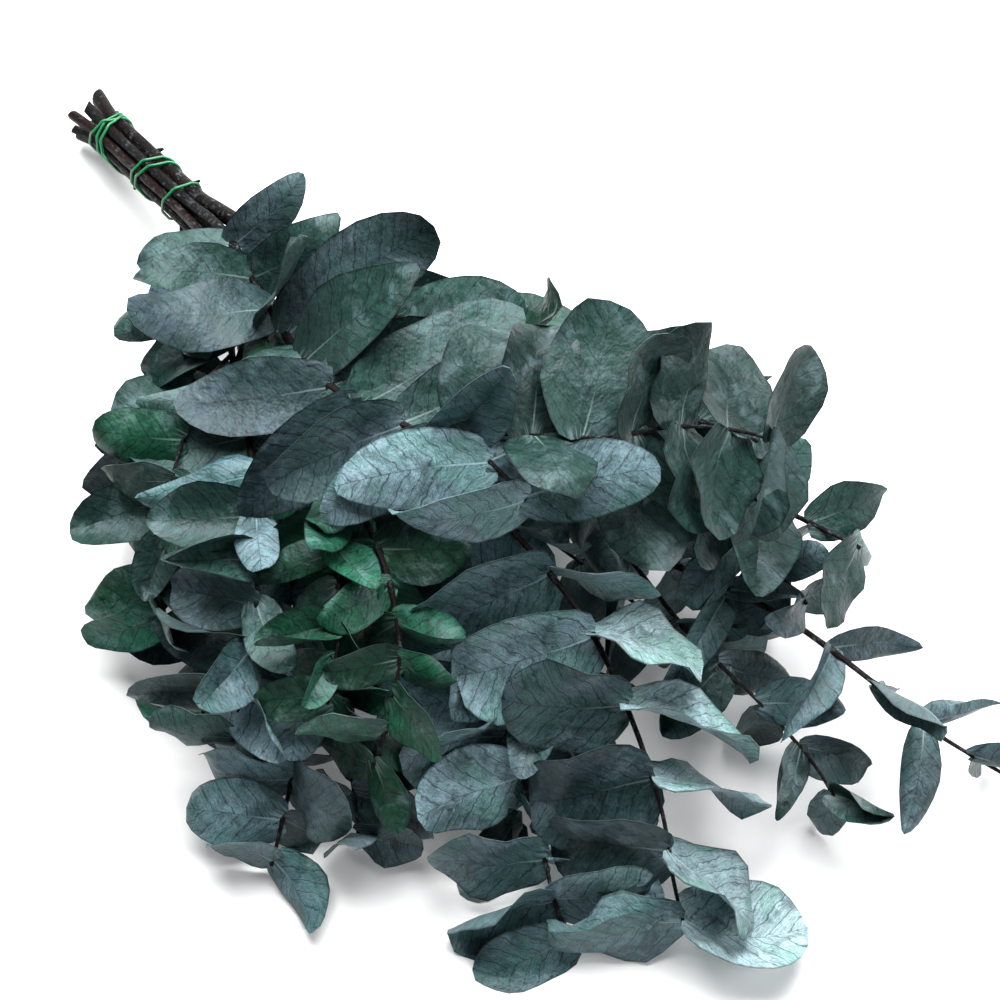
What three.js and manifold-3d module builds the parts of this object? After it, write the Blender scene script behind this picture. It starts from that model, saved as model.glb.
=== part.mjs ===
// A bunch of dried eucalyptus lying on a table: eleven leafy stems, bound at their cut ends by one green elastic cord.
// Millimetres, +Z up. +X runs along the bunch from the cut ends to the tips, +Y is across it, and Z = 0 is the table.
// Each stem is one grown piece: a tapering woody stem, its side twigs, and leaves that sit on it in opposite pairs.
import * as THREE from 'three';
import { mergeVertices } from 'three/addons/utils/BufferGeometryUtils.js';
import Module from 'manifold-3d';

const wasm = await Module();
wasm.setup();

// The bound stems. Their axis rises from the cut ends to the mouth, where they fan out.
const MOUTH = [-179, 15, 60]; // where the axis of the bound stems meets the foliage
const BIND_SLOPE = 18.5; // degrees above the table
const CUT_END = -137; // place of the cut ends on that axis, counted from the mouth
const HELD_AT = [-128, -112, -78, -40]; // places where the stems lie side by side, along that axis
const INNER_RING = 2.7; // distance of the three inner stems from the axis
const OUTER_RING = 8.2; // distance of the eight outer stems from the axis
const END_SPLAY = 1.45; // the cut ends stand this much further apart than the bound stems
const MOUTH_SPLAY = 1.6; // and so do the stems at the mouth

// The green elastic cord, wound over the stems.
const CORD_RADIUS = 0.85;
const CORD_GAP = 0.5; // clearance to the bark
const CORD_PITCH = 2.2; // least distance between two of its strands, middle to middle
const CORD_SIDES = 4;
const THICK_STEM = 3; // a stem of a greater radius than this gives the cord one more point
// Its places on the axis of the bound stems. Turns are counted from the outer stem that sits at the smallest angle. Three
// of them cross near the cut ends, two part and meet again, and one lies by the leaves.
const WINDING = [
  { turn: 0.6, along: -124 }, { turn: 0.95, along: -125 }, { turn: 1.45, along: -116 }, { turn: 1.95, along: -114 },
  { turn: 2.45, along: -127 }, { turn: 2.95, along: -121 }, { turn: 3.45, along: -112 }, { turn: 3.95, along: -66 },
  { turn: 4.15, along: -78 }, { turn: 4.45, along: -84 }, { turn: 4.95, along: -63 }, { turn: 5.15, along: -71 },
  { turn: 5.45, along: -81 }, { turn: 5.95, along: -44 }, { turn: 6.45, along: -52 }, { turn: 6.7, along: -50 },
];

const STEM_SIDES = 5;
const TWIG_SIDES = 4;
const RING_STEP = 30; // distance between the rings of a stem
const LEAST_RING_STEP = 7; // no ring between leaf pairs is closer than this to the one before it
const LINE_STEPS = 10; // straight steps between two points of a route
const BARE_TIP = 3; // length of a branch beyond its last pair
const TIP_RADIUS = 0.9;
const STEM_TAPER = 1.6; // above 1, a branch stays thick for longer before it thins
const TWIG_TAPER = 1;
const TWIG_SHARE = 0.72; // a side twig's radius as a share of its stem's
const WOOD_ROOM = 0.2; // a leaf's edges stay this far from the wood that it passes
const WOOD_CLEAR = 1; // and its face this far from the wood's corners

const BLADE = 0.8; // thickness of a leaf blade
const LONG_LEAF = 70; // a longer leaf has three rows of points instead of two
const CORNER = 1.05; // the corners of a faceted blade stand this far out of its round outline
const CLEAR = 1.1; // room kept on each side of a leaf's middle surface
const CLEAR_RIM = 0.7; // and beyond its edge
const TABLE_PRESS = 14; // how far a leaf may be pressed up by the table
const MOST_AT = 0.3; // where along a branch its leaves are longest
const TRIES = 18; // poses that a leaf tries before it is left out
const PAIR_STEP = 0.6; // the two leaves of a pair sit this far before and behind its place on the branch
const SEAT_ROOM = 14; // wood this near to a leaf's seat is its own, and may touch it

// Every leaf leans towards its branch's tip, sinks a little and bends down towards its own tip. From that it strays by
// a draw between -1 and 1, in degrees or in shares. A leaf in the way of others swings on with each further try.
const LEAN = 0.45;
const SINK = 0.1;
const BEND = 21;
const STRAY = { roll: 9, spread: 9, tilt: 16, bend: 24, twist: 24, sink: 0.12, length: 0.1, width: 0.1 };
const SWING = { roll: 13, back: -0.8, open: 4, close: 2, tilt: 5, bend: 8, rise: 0.03, shrink: 0.018 };
const TURN_BACK = 8; // tries after which a leaf swings the other way

// Leaf forms: width as a share of length, where the blade is widest, and how blunt its outline is.
const LANCE = { width: 0.5, widest: 0.42, blunt: 0.74 };
const BROAD = { width: 0.64, widest: 0.45, blunt: 0.66 };
const ROUND = { width: 0.82, widest: 0.5, blunt: 0.55 };
const NARROW = { width: 0.36, widest: 0.45, blunt: 0.8 };

// A branch's leaves: form, length at its first pair, where it is greatest and at its last pair, distance from the
// branch's start to the first pair, distance between pairs, the direction that the blades face, angle to the branch,
// its skew between the two leaves of a pair, how far the pairs turn about the branch in degrees, how much they stray
// from that, and how far the second leaf of a pair is tipped up on its edge.
const leaves = (form, lengths, first, step, face, spread, skew, turn, stray = 1, edgewise = 0) =>
  ({ form, lengths, first, step, face, spread, skew, turn, stray, edgewise });

// Each stem sits in the bundle at an angle about its axis, counted from across the bunch towards up, and at a distance
// from it. Routes run through points given as [along the bunch, across it, height], counted from the mouth's place on
// the table. A twig starts at the point of its stem's route that "from" counts.
const STEMS = [
  { // top of the bunch: long leaves first, then a side twig of round leaves that lies across the others
    angle: 95, ring: OUTER_RING, radius: 2.95, overhang: 4,
    route: [[50, -12, 86], [106, -24, 112], [147, -20, 130], [181, -8, 141], [212, 4, 147], [240, 6, 146]],
    foliage: leaves(LANCE, [62, 98, 72], 142, 25, [0.3, -0.3, 1], 84, 24, 14),
    twigs: [{
      from: 3, route: [[208, 18, 153], [238, 50, 157], [254, 84, 152], [270, 108, 144], [284, 124, 134]],
      foliage: leaves(ROUND, [60, 66, 50], 20, 24, [0.35, -0.3, 1], 84, 8, 14, 0.6),
    }],
  },
  { // back of the bunch, right side
    angle: 347, ring: OUTER_RING, radius: 2.7, overhang: 0,
    route: [[34, 12, 70], [76, 26, 82], [118, 42, 92], [150, 58, 98], [190, 82, 100], [228, 108, 96], [262, 134, 86]],
    foliage: leaves(BROAD, [50, 78, 48], 138, 27, [-0.1, 0.2, 1], 66, 18, 22),
    twigs: [],
  },
  { // right side, between the top and the table; the thickest stem of the bundle
    angle: 40, ring: OUTER_RING, radius: 4.2, overhang: 10,
    route: [[62, 4, 78], [140, 24, 97], [204, 54, 105], [258, 86, 104], [304, 116, 98], [338, 136, 87]],
    foliage: leaves(BROAD, [60, 62, 44], 196, 25, [0.4, 0.2, 1], 72, 15, 26),
    twigs: [{
      from: 3, route: [[276, 90, 90], [308, 98, 78], [340, 102, 70]],
      foliage: leaves(BROAD, [46, 46, 36], 22, 22, [0.5, -0.2, 1], 70, 10, 30),
    }],
  },
  { // long low stem to the far right tip, with hanging narrow leaves
    angle: 305, ring: OUTER_RING, radius: 2.8, overhang: 6,
    route: [[72, 12, 52], [175, 30, 56], [249, 52, 62], [301, 74, 66], [338, 90, 66], [393, 104, 62], [426, 111, 58],
      [452, 121, 54], [476, 131, 50]],
    foliage: leaves(NARROW, [60, 68, 50], 290, 29, [0.6, -0.5, 0.7], 62, 10, 62),
    twigs: [{
      from: 2, route: [[314, 52, 52], [363, 58, 46], [400, 60, 39], [418, 58, 35]],
      foliage: leaves(BROAD, [50, 48, 36], 44, 28, [0.4, -0.3, 1], 60, 10, 40),
    }],
  },
  { // middle front, right of centre: big round leaves
    angle: 85, ring: INNER_RING, radius: 2.15, overhang: -4,
    route: [[87, -6, 98], [150, -4, 110], [205, -2, 114], [252, 2, 108], [292, 2, 98], [335, -6, 80], [378, -20, 60],
      [402, -32, 42], [420, -39, 24]],
    foliage: leaves(ROUND, [64, 70, 62], 312, 37, [0.35, -0.3, 1], 78, 12, 8, 0.6, 94),
    twigs: [],
  },
  { // front, middle
    angle: 325, ring: INNER_RING, radius: 2.15, overhang: 0,
    route: [[97, -14, 60], [193, -26, 70], [252, -40, 66], [296, -52, 55], [335, -64, 40], [362, -76, 24],
      [374, -80, 15], [390, -84, 8]],
    foliage: leaves(ROUND, [60, 60, 54], 268, 21, [0.3, -0.3, 1], 80, 12, 14, 0.5),
    twigs: [{
      from: 2, route: [[288, -34, 60], [322, -30, 50], [346, -32, 42]],
      foliage: leaves(BROAD, [54, 50, 42], 32, 24, [0.3, 0, 1], 66, 12, 24),
    }],
  },
  { // centre of the front: a spray of small green leaves
    angle: 139, ring: OUTER_RING, radius: 2.7, overhang: 8,
    route: [[76, -26, 86], [147, -42, 104], [204, -56, 106], [242, -74, 95], [264, -98, 78], [274, -116, 60]],
    foliage: leaves(BROAD, [50, 50, 38], 212, 18, [0.3, -0.4, 1], 62, 10, 32),
    twigs: [{
      from: 1, route: [[190, -72, 106], [222, -96, 98], [242, -118, 84]],
      foliage: leaves(BROAD, [44, 46, 36], 20, 18, [0.2, -0.5, 1], 62, 10, 32),
    }],
  },
  { // front left, low: round leaves that end on the table
    angle: 221, ring: OUTER_RING, radius: 2.9, overhang: 8,
    route: [[75, -42, 54], [150, -76, 58], [205, -108, 54], [237, -136, 38], [258, -162, 20], [268, -176, 10]],
    foliage: leaves(ROUND, [56, 56, 46], 208, 21, [0.3, -0.4, 1], 76, 12, 22),
    twigs: [{
      from: 2, route: [[240, -112, 40], [264, -122, 24], [284, -134, 12]],
      foliage: leaves(ROUND, [48, 48, 42], 24, 20, [0.3, -0.3, 1], 76, 10, 22),
    }, {
      from: 0, route: [[114, -96, 34], [160, -132, 18], [182, -156, 8]],
      foliage: leaves(BROAD, [56, 56, 46], 38, 23, [0, -0.7, 0.6], 66, 14, 34),
    }],
  },
  { // left, upper: broad curled leaves
    angle: 205, ring: INNER_RING, radius: 2.15, overhang: 4,
    route: [[60, -42, 82], [112, -68, 98], [154, -94, 97], [186, -120, 84], [206, -144, 66], [218, -160, 52]],
    foliage: leaves(BROAD, [58, 64, 50], 142, 22, [0.1, -0.5, 1], 74, 16, 28),
    twigs: [{
      from: 0, route: [[72, -66, 96], [88, -90, 95], [102, -110, 86]],
      foliage: leaves(BROAD, [54, 52, 44], 20, 21, [0.1, -0.5, 1], 66, 10, 28),
    }],
  },
  { // left edge
    angle: 180, ring: OUTER_RING, radius: 2.5, overhang: 6,
    route: [[36, -36, 70], [62, -68, 76], [90, -98, 70], [118, -124, 57], [142, -148, 42]],
    foliage: leaves(BROAD, [54, 60, 48], 144, 20, [-0.1, -0.5, 0.9], 60, 8, 34),
    twigs: [],
  },
  { // underside: it carries the bunch on the table
    angle: 263, ring: OUTER_RING, radius: 2.6, overhang: 2,
    route: [[60, -14, 42], [120, -30, 30], [200, -46, 18], [286, -62, 9], [326, -68, 5]],
    foliage: leaves(BROAD, [60, 58, 46], 190, 42, [0, -0.2, -1], 74, 14, 30),
    twigs: [{
      from: 0, route: [[120, 10, 33], [200, 34, 20], [272, 54, 10], [320, 58, 6]],
      foliage: leaves(BROAD, [58, 60, 46], 50, 42, [0, 0.3, -1], 74, 14, 30),
    }],
  },
];

// A seeded draw between -1 and 1.
function drawer(seed) {
  const FACTOR = 16807;
  const MODULUS = 2147483647;
  let state = seed * 7919 + 17;
  return () => {
    state = (state * FACTOR) % MODULUS;
    return (state / MODULUS) * 2 - 1;
  };
}

const rad = (degrees) => (degrees * Math.PI) / 180;
const add = (a, b, k = 1) => [a[0] + b[0] * k, a[1] + b[1] * k, a[2] + b[2] * k];
const sub = (a, b) => [a[0] - b[0], a[1] - b[1], a[2] - b[2]];
const dot = (a, b) => a[0] * b[0] + a[1] * b[1] + a[2] * b[2];
const cross = (a, b) => [a[1] * b[2] - a[2] * b[1], a[2] * b[0] - a[0] * b[2], a[0] * b[1] - a[1] * b[0]];
const unit = (a) => {
  const length = Math.sqrt(dot(a, a));
  return [a[0] / length, a[1] / length, a[2] / length];
};
const across = (a, axis) => unit(add(a, axis, -dot(a, axis))); // the part of a that is square to the axis

// The frame of the bound stems: their axis, the direction across the bunch, and the one square to both, upwards.
const BIND_AXIS = [Math.cos(rad(BIND_SLOPE)), 0, Math.sin(rad(BIND_SLOPE))];
const BIND_SIDE = [0, 1, 0];
const BIND_UP = [-Math.sin(rad(BIND_SLOPE)), 0, Math.cos(rad(BIND_SLOPE))];

function bindPoint(along, side, up) {
  return add(add(add(MOUTH, BIND_AXIS, along), BIND_SIDE, side), BIND_UP, up);
}

// A smooth line through points, as short straight steps, with the length up to each.
function lineThrough(points) {
  const curve = new THREE.CatmullRomCurve3(points.map((p) => new THREE.Vector3(...p)), false, 'centripetal');
  const count = (points.length - 1) * LINE_STEPS;
  const path = [];
  const lengths = [0];
  for (let i = 0; i <= count; i += 1) {
    path.push(curve.getPoint(i / count).toArray());
    if (i > 0) {
      const step = sub(path[i], path[i - 1]);
      lengths.push(lengths[i - 1] + Math.sqrt(dot(step, step)));
    }
  }
  return { path, lengths, total: lengths[count] };
}

function placeOn(line, distance) {
  let i = 1;
  while (i < line.lengths.length - 1 && line.lengths[i] < distance) i += 1;
  const share = (distance - line.lengths[i - 1]) / (line.lengths[i] - line.lengths[i - 1]);
  return add(line.path[i - 1], sub(line.path[i], line.path[i - 1]), share);
}

// A point on the straight axis between two rings of a branch, where a leaf or a twig is rooted.
function seatOn(branch, distance) {
  const { places, line } = branch;
  const next = Math.max(1, places.findIndex((p) => p >= distance));
  const before = placeOn(line, places[next - 1]);
  const share = (distance - places[next - 1]) / (places[next] - places[next - 1]);
  return add(before, sub(placeOn(line, places[next]), before), share);
}

function headingOn(line, distance) {
  const REACH = 5;
  const from = Math.max(0, distance - REACH);
  const to = Math.min(line.total, distance + REACH);
  return unit(sub(placeOn(line, to), placeOn(line, from)));
}

// The places of a branch's leaf pairs, counted along it. The last pair sits just under its tip.
function pairPlaces(foliage, total) {
  const last = total - BARE_TIP;
  const count = Math.floor((last - foliage.first) / foliage.step);
  return Array.from({ length: count + 1 }, (_, pair) => last - (count - pair) * foliage.step);
}

// One branch: its line, its radius at each place, and the places of its rings. There is a ring at each seat in the
// bundle and halfway between leaf pairs, and others from the bundle to the first pair.
function branchOn(line, { number, sides, foliage, held, start, taper }) {
  const radiusAt = (distance) => start + (TIP_RADIUS - start) * (distance / line.total) ** taper;
  const pairs = pairPlaces(foliage, line.total);
  const bound = held ? line.lengths[(held - 1) * LINE_STEPS] : 0;
  const between = pairs.map((pair) => pair - foliage.step / 2).filter((place) => place > bound + LEAST_RING_STEP);
  const spans = Math.max(1, Math.round((between[0] - bound) / RING_STEP));
  const places = [];
  for (let i = 0; i < held - 1; i += 1) places.push(line.lengths[i * LINE_STEPS]);
  for (let i = 0; i < spans; i += 1) places.push(bound + ((between[0] - bound) * i) / spans);
  places.push(...between, line.total);
  return { number, line, sides, foliage, radiusAt, pairs, places };
}

// The branches of every stem: the stem itself, followed by its twigs.
function growBranches() {
  const branches = [];
  STEMS.forEach((stem, number) => {
    const side = stem.ring * Math.cos(rad(stem.angle));
    const up = stem.ring * Math.sin(rad(stem.angle));
    const outer = stem.ring === OUTER_RING ? 1 : 0;
    const splay = 1 + (END_SPLAY - 1) * outer;
    const seats = [
      bindPoint(CUT_END - stem.overhang, side * splay, up * splay),
      ...HELD_AT.map((along) => bindPoint(along, side, up)),
      bindPoint(0, side * MOUTH_SPLAY, up * MOUTH_SPLAY),
    ];
    const route = stem.route.map((p) => [p[0] + MOUTH[0], p[1] + MOUTH[1], p[2]]);
    const line = lineThrough([...seats, ...route]);
    const trunk = branchOn(line, {
      number, sides: STEM_SIDES, foliage: stem.foliage, held: seats.length, start: stem.radius, taper: STEM_TAPER,
    });
    branches.push(trunk);
    for (const twig of stem.twigs) {
      const joint = line.lengths[(seats.length + twig.from) * LINE_STEPS];
      const points = [seatOn(trunk, joint), ...twig.route.map((p) => [p[0] + MOUTH[0], p[1] + MOUTH[1], p[2]])];
      const start = trunk.radiusAt(joint) * TWIG_SHARE;
      branches.push(branchOn(lineThrough(points), {
        number, sides: TWIG_SIDES, foliage: twig.foliage, held: 0, start, taper: TWIG_TAPER,
      }));
    }
  });
  return branches;
}

// The rings of a branch: place, heading, two directions square to it, and radius.
function ringsOf(branch) {
  let side = [0, 1, 0];
  return branch.places.map((distance) => {
    const heading = headingOn(branch.line, distance);
    side = across(side, heading);
    const place = placeOn(branch.line, distance);
    return { place, heading, side, up: cross(heading, side), radius: branch.radiusAt(distance) };
  });
}

function ringPoints(ring, sides, extra) {
  const points = [];
  for (let k = 0; k < sides; k += 1) {
    const a = (2 * Math.PI * k) / sides;
    const r = ring.radius + extra;
    points.push(add(add(ring.place, ring.side, Math.cos(a) * r), ring.up, Math.sin(a) * r));
  }
  return points;
}

// Half the width of a leaf at a share of its length, in shares of its widest half.
function outline(form, t) {
  const power = Math.log(0.5) / Math.log(form.widest);
  return Math.pow(Math.sin(Math.PI * Math.pow(t, power)), form.blunt);
}

// A point of a leaf's middle surface and the blade's normal there: t runs from root to tip, s from edge to edge.
function leafPoint(leaf, t, s) {
  const turned = leaf.bend * t;
  const reach = (leaf.length * Math.sin(turned)) / leaf.bend;
  const fall = (leaf.length * (1 - Math.cos(turned))) / leaf.bend;
  const rib = add(add(leaf.root, leaf.heading, reach), leaf.normal, -fall);
  const bent = add(leaf.normal.map((x) => x * Math.cos(turned)), leaf.heading, Math.sin(turned));
  const wrung = leaf.twist * t;
  const side = add(leaf.side.map((x) => x * Math.cos(wrung)), bent, Math.sin(wrung));
  const normal = add(bent.map((x) => x * Math.cos(wrung)), leaf.side, -Math.sin(wrung));
  const half = (outline(leaf.form, t) * leaf.length * leaf.width) / 2;
  return { point: add(rib, side, s * half), normal };
}

// The places on a blade that make its solid: root, rows of left and right edge, and tip.
function bladePlaces(leaf) {
  const rows = leaf.length > LONG_LEAF ? [0.2, 0.5, 0.83] : [0.27, 0.74];
  const places = [leafPoint(leaf, 0, 0)];
  for (const t of rows) {
    places.push(leafPoint(leaf, t, -CORNER), leafPoint(leaf, t, CORNER));
  }
  places.push(leafPoint(leaf, 1, 0));
  return places;
}

// The triangles of a blade's upper face, for a number of rows. The lower face has the same ones.
function bladeTriangles(rows) {
  const tip = 1 + 2 * rows;
  const triangles = [[0, 1, 2]];
  for (let i = 0; i < rows - 1; i += 1) {
    const [l, r] = [1 + 2 * i, 2 + 2 * i];
    triangles.push([l, l + 2, r], [r, l + 2, r + 2]);
  }
  triangles.push([tip - 2, tip, tip - 1]);
  return triangles;
}

// The edge of a blade as a loop of its places: up the left side to the tip and down the right side.
function bladeLoop(rows) {
  const left = [];
  const right = [];
  for (let i = 0; i < rows; i += 1) {
    left.push(1 + 2 * i);
    right.unshift(2 + 2 * i);
  }
  return [0, ...left, 1 + 2 * rows, ...right];
}

// A place of the blade pressed up until neither face is under the table.
function pressedUp(place) {
  const low = place.point[2] - (Math.abs(place.normal[2]) * BLADE) / 2;
  const lift = Math.max(0, -low);
  return { point: add(place.point, [0, 0, lift]), normal: place.normal, lift };
}

// What a piece takes up, for keeping pieces clear of each other: triangles of its middle surface, and the edges and
// pins of the room around it.
function roomOf(points, triangles, edges) {
  const centre = [0, 1, 2].map((k) => {
    const values = points.map((p) => p[k]);
    return (Math.min(...values) + Math.max(...values)) / 2;
  });
  const reach = Math.max(...points.map((p) => Math.sqrt(dot(sub(p, centre), sub(p, centre))))) + 2;
  return { triangles, edges, centre, reach };
}

function bladeRoom(places) {
  const rows = (places.length - 2) / 2;
  const corners = bladeTriangles(rows);
  const points = places.map((p) => p.point);
  const triangles = corners.map((c) => c.map((i) => points[i]));
  const middle = [0, 1, 2].map((k) => points.reduce((sum, p) => sum + p[k], 0) / points.length);
  const wide = points.map((p, i) => (i ? add(p, unit(sub(p, middle)), CLEAR_RIM) : p));
  const upper = places.map((p, i) => add(wide[i], p.normal, CLEAR));
  const lower = places.map((p, i) => add(wide[i], p.normal, -CLEAR));
  const edges = places.map((p, i) => [upper[i], lower[i]]);
  const done = new Set();
  for (const [a, b, c] of corners) {
    for (const [i, j] of [[a, b], [b, c], [c, a]]) {
      const key = Math.min(i, j) * 100 + Math.max(i, j);
      if (!done.has(key)) {
        done.add(key);
        edges.push([upper[Math.min(i, j)], upper[Math.max(i, j)]], [lower[Math.min(i, j)], lower[Math.max(i, j)]]);
      }
    }
    const third = (set) => [0, 1, 2].map((k) => (set[a][k] + set[b][k] + set[c][k]) / 3);
    edges.push([third(upper), third(lower)]);
  }
  return roomOf(points, triangles, edges);
}

function stemRooms(branch, index) {
  const rings = ringsOf(branch);
  const rooms = [];
  for (let i = 0; i < rings.length - 1; i += 1) {
    const a = ringPoints(rings[i], branch.sides, WOOD_ROOM);
    const b = ringPoints(rings[i + 1], branch.sides, WOOD_ROOM);
    const wideA = ringPoints(rings[i], branch.sides, WOOD_CLEAR);
    const wideB = ringPoints(rings[i + 1], branch.sides, WOOD_CLEAR);
    const triangles = [];
    const edges = [];
    for (let k = 0; k < branch.sides; k += 1) {
      const next = (k + 1) % branch.sides;
      triangles.push([a[k], a[next], b[next]], [a[k], b[next], b[k]]);
      edges.push([wideA[k], wideB[k]], [wideA[k], wideA[next]], [wideB[k], wideB[next]]);
    }
    const room = roomOf([...wideA, ...wideB], triangles, edges);
    room.branch = index;
    room.middle = (rings[i].place.map((x, k) => (x + rings[i + 1].place[k]) / 2));
    rooms.push(room);
  }
  return rooms;
}

// Whether an edge passes through a triangle.
function pierces([p, q], [a, b, c]) {
  const way = sub(q, p);
  const ab = sub(b, a);
  const ac = sub(c, a);
  const h = cross(way, ac);
  const det = dot(ab, h);
  if (Math.abs(det) < 1e-9) return false;
  const ap = sub(p, a);
  const u = dot(ap, h) / det;
  if (u < 0 || u > 1) return false;
  const g = cross(ap, ab);
  const v = dot(way, g) / det;
  if (v < 0 || u + v > 1) return false;
  const w = dot(ac, g) / det;
  return w >= 0 && w <= 1;
}

function meets(one, other) {
  const gap = sub(one.centre, other.centre);
  const reach = one.reach + other.reach;
  if (dot(gap, gap) > reach * reach) return false;
  return one.edges.some((e) => other.triangles.some((t) => pierces(e, t)))
    || other.edges.some((e) => one.triangles.some((t) => pierces(e, t)));
}

// The length of a branch's leaves at a share of the way from its first pair to its last.
function lengthAt([first, most, last], share) {
  if (share < MOST_AT) return first + ((most - first) * share) / MOST_AT;
  return most + ((last - most) * (share - MOST_AT)) / (1 - MOST_AT);
}

// One leaf in the pose that a try gives it. Later tries swing it, turn it about the branch and make it smaller.
function poseLeaf(branch, site, turn, attempt) {
  const { foliage } = branch;
  const { place, heading, face, draws, share } = site;
  const swing = (attempt % 2 ? 1 : -1) * Math.ceil(attempt / 2);
  const sign = turn ? -1 : 1;
  const side = cross(heading, face);
  const turned = SWING.roll * swing * (attempt > TURN_BACK ? SWING.back : 1);
  const roll = rad(site.roll + STRAY.roll * foliage.stray * draws[0] + turned);
  const opened = SWING.open * (attempt % 5) - SWING.close * attempt;
  const spread = rad(foliage.spread + sign * foliage.skew + STRAY.spread * draws[1] + opened);
  const out = add(side.map((x) => x * Math.cos(roll)), face, Math.sin(roll));
  const way = unit(add(add(heading.map((x) => x * Math.cos(spread)), out, sign * Math.sin(spread)),
    [0, 0, -1], SINK + STRAY.sink * draws[2] - SWING.rise * attempt));
  const tilt = rad(STRAY.tilt * foliage.stray * draws[3] + SWING.tilt * swing + (turn ? foliage.edgewise : 0));
  const straight = across(add(face, heading, LEAN), way);
  const level = cross(straight, way);
  const normal = add(straight.map((x) => x * Math.cos(tilt)), level, Math.sin(tilt));
  const bend = rad(BEND + STRAY.bend * draws[4] + SWING.bend * (attempt % 3));
  const length = lengthAt(foliage.lengths, share) * (1 + STRAY.length * draws[5]);
  return {
    form: foliage.form,
    root: place,
    heading: way,
    normal,
    side: cross(normal, way),
    length: length * (1 - SWING.shrink * attempt),
    width: foliage.form.width * (1 + STRAY.width * draws[6]),
    bend: Math.abs(bend) < 0.02 ? 0.02 : bend,
    twist: rad(STRAY.twist * draws[7]),
  };
}

// Hangs leaves on every branch in turn, each in the first pose that is clear of all that is there already.
function growLeaves(branches) {
  const stems = branches.flatMap((branch, index) => stemRooms(branch, index));
  const placed = [];
  branches.forEach((branch, index) => {
    const draw = drawer(index + 1);
    const { foliage, line, pairs } = branch;
    pairs.forEach((distance, pair) => {
      const heading = headingOn(line, distance);
      for (const turn of [0, 1]) {
        const draws = [draw(), draw(), draw(), draw(), draw(), draw(), draw(), draw()];
        const site = {
          place: seatOn(branch, distance + (turn ? -PAIR_STEP : PAIR_STEP)),
          heading,
          face: across(foliage.face, heading),
          draws,
          share: pair / Math.max(1, pairs.length - 1),
          roll: (pair % 2 ? 1 : -1) * foliage.turn,
        };
        for (let attempt = 0; attempt < TRIES; attempt += 1) {
          const leaf = poseLeaf(branch, site, turn, attempt);
          const places = bladePlaces(leaf).map(pressedUp);
          if (places.some((p) => p.lift > TABLE_PRESS)) continue;
          const room = bladeRoom(places);
          const blocked = stems.some((s) => !(s.branch === index && near(s.middle, site.place)) && meets(room, s))
            || placed.some((l) => !(l.index === index && l.pair === pair) && meets(room, l.room));
          if (!blocked) {
            placed.push({ index, number: branch.number, pair, leaf, places, room, attempt });
            break;
          }
        }
      }
    });
  });
  return placed;
}

function near(a, b) {
  const gap = sub(a, b);
  return dot(gap, gap) < SEAT_ROOM * SEAT_ROOM;
}

function solidOf(points, triangles) {
  const flat = new Float32Array(points.flat());
  const geometry = new THREE.BufferGeometry();
  geometry.setAttribute('position', new THREE.BufferAttribute(flat, 3));
  geometry.setIndex(triangles.flat());
  const merged = mergeVertices(geometry, 1e-4);
  const mesh = new wasm.Mesh({
    numProp: 3,
    vertProperties: merged.attributes.position.array,
    triVerts: new Uint32Array(merged.index.array),
  });
  return new wasm.Manifold(mesh);
}

// A closed tube through rings of points, with flat ends.
function tubeSolid(rings) {
  const sides = rings[0].length;
  const points = rings.flat();
  const triangles = [];
  const end = (rings.length - 1) * sides;
  for (let k = 1; k < sides - 1; k += 1) triangles.push([0, k + 1, k], [end, end + k, end + k + 1]);
  for (let i = 0; i < rings.length - 1; i += 1) {
    for (let k = 0; k < sides; k += 1) {
      const a = i * sides + k;
      const b = i * sides + ((k + 1) % sides);
      triangles.push([a, b, b + sides], [a, b + sides, a + sides]);
    }
  }
  return solidOf(points, triangles);
}

function bladeSolid(places) {
  const rows = (places.length - 2) / 2;
  const half = BLADE / 2;
  const upper = places.map((p) => add(p.point, p.normal, half));
  const lower = places.map((p) => add(p.point, p.normal, -half));
  const count = places.length;
  const triangles = [];
  for (const [a, b, c] of bladeTriangles(rows)) triangles.push([a, b, c], [count + a, count + c, count + b]);
  const loop = bladeLoop(rows);
  loop.forEach((a, i) => {
    const b = loop[(i + 1) % loop.length];
    triangles.push([b, a, count + a], [b, count + a, count + b]);
  });
  return solidOf([...upper, ...lower], triangles);
}

// Where a cord pulled tight round the bound stems comes onto each outer stem and leaves it, in order round them.
function cordStops() {
  const ring = STEMS.filter((s) => s.ring === OUTER_RING)
    .sort((a, b) => a.angle - b.angle)
    .map((s) => ({ radius: s.radius, seat: [s.ring * Math.cos(rad(s.angle)), s.ring * Math.sin(rad(s.angle))] }));
  const facing = (a, b) => {
    const gap = [b.seat[0] - a.seat[0], b.seat[1] - a.seat[1]];
    const angle = Math.atan2(gap[1], gap[0]) - Math.acos((a.radius - b.radius) / Math.hypot(...gap));
    return [Math.cos(angle), Math.sin(angle)];
  };
  return ring.flatMap((stem, k) => {
    const before = ring[(k + ring.length - 1) % ring.length];
    const after = ring[(k + 1) % ring.length];
    const on = facing(before, stem);
    const off = facing(stem, after);
    const stops = [{ ...stem, facing: on }, { ...stem, facing: off }];
    const size = Math.hypot(on[0] + off[0], on[1] + off[1]);
    const middle = [(on[0] + off[0]) / size, (on[1] + off[1]) / size];
    if (stem.radius > THICK_STEM) stops.splice(1, 0, { ...stem, facing: middle });
    return stops;
  });
}

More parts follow.
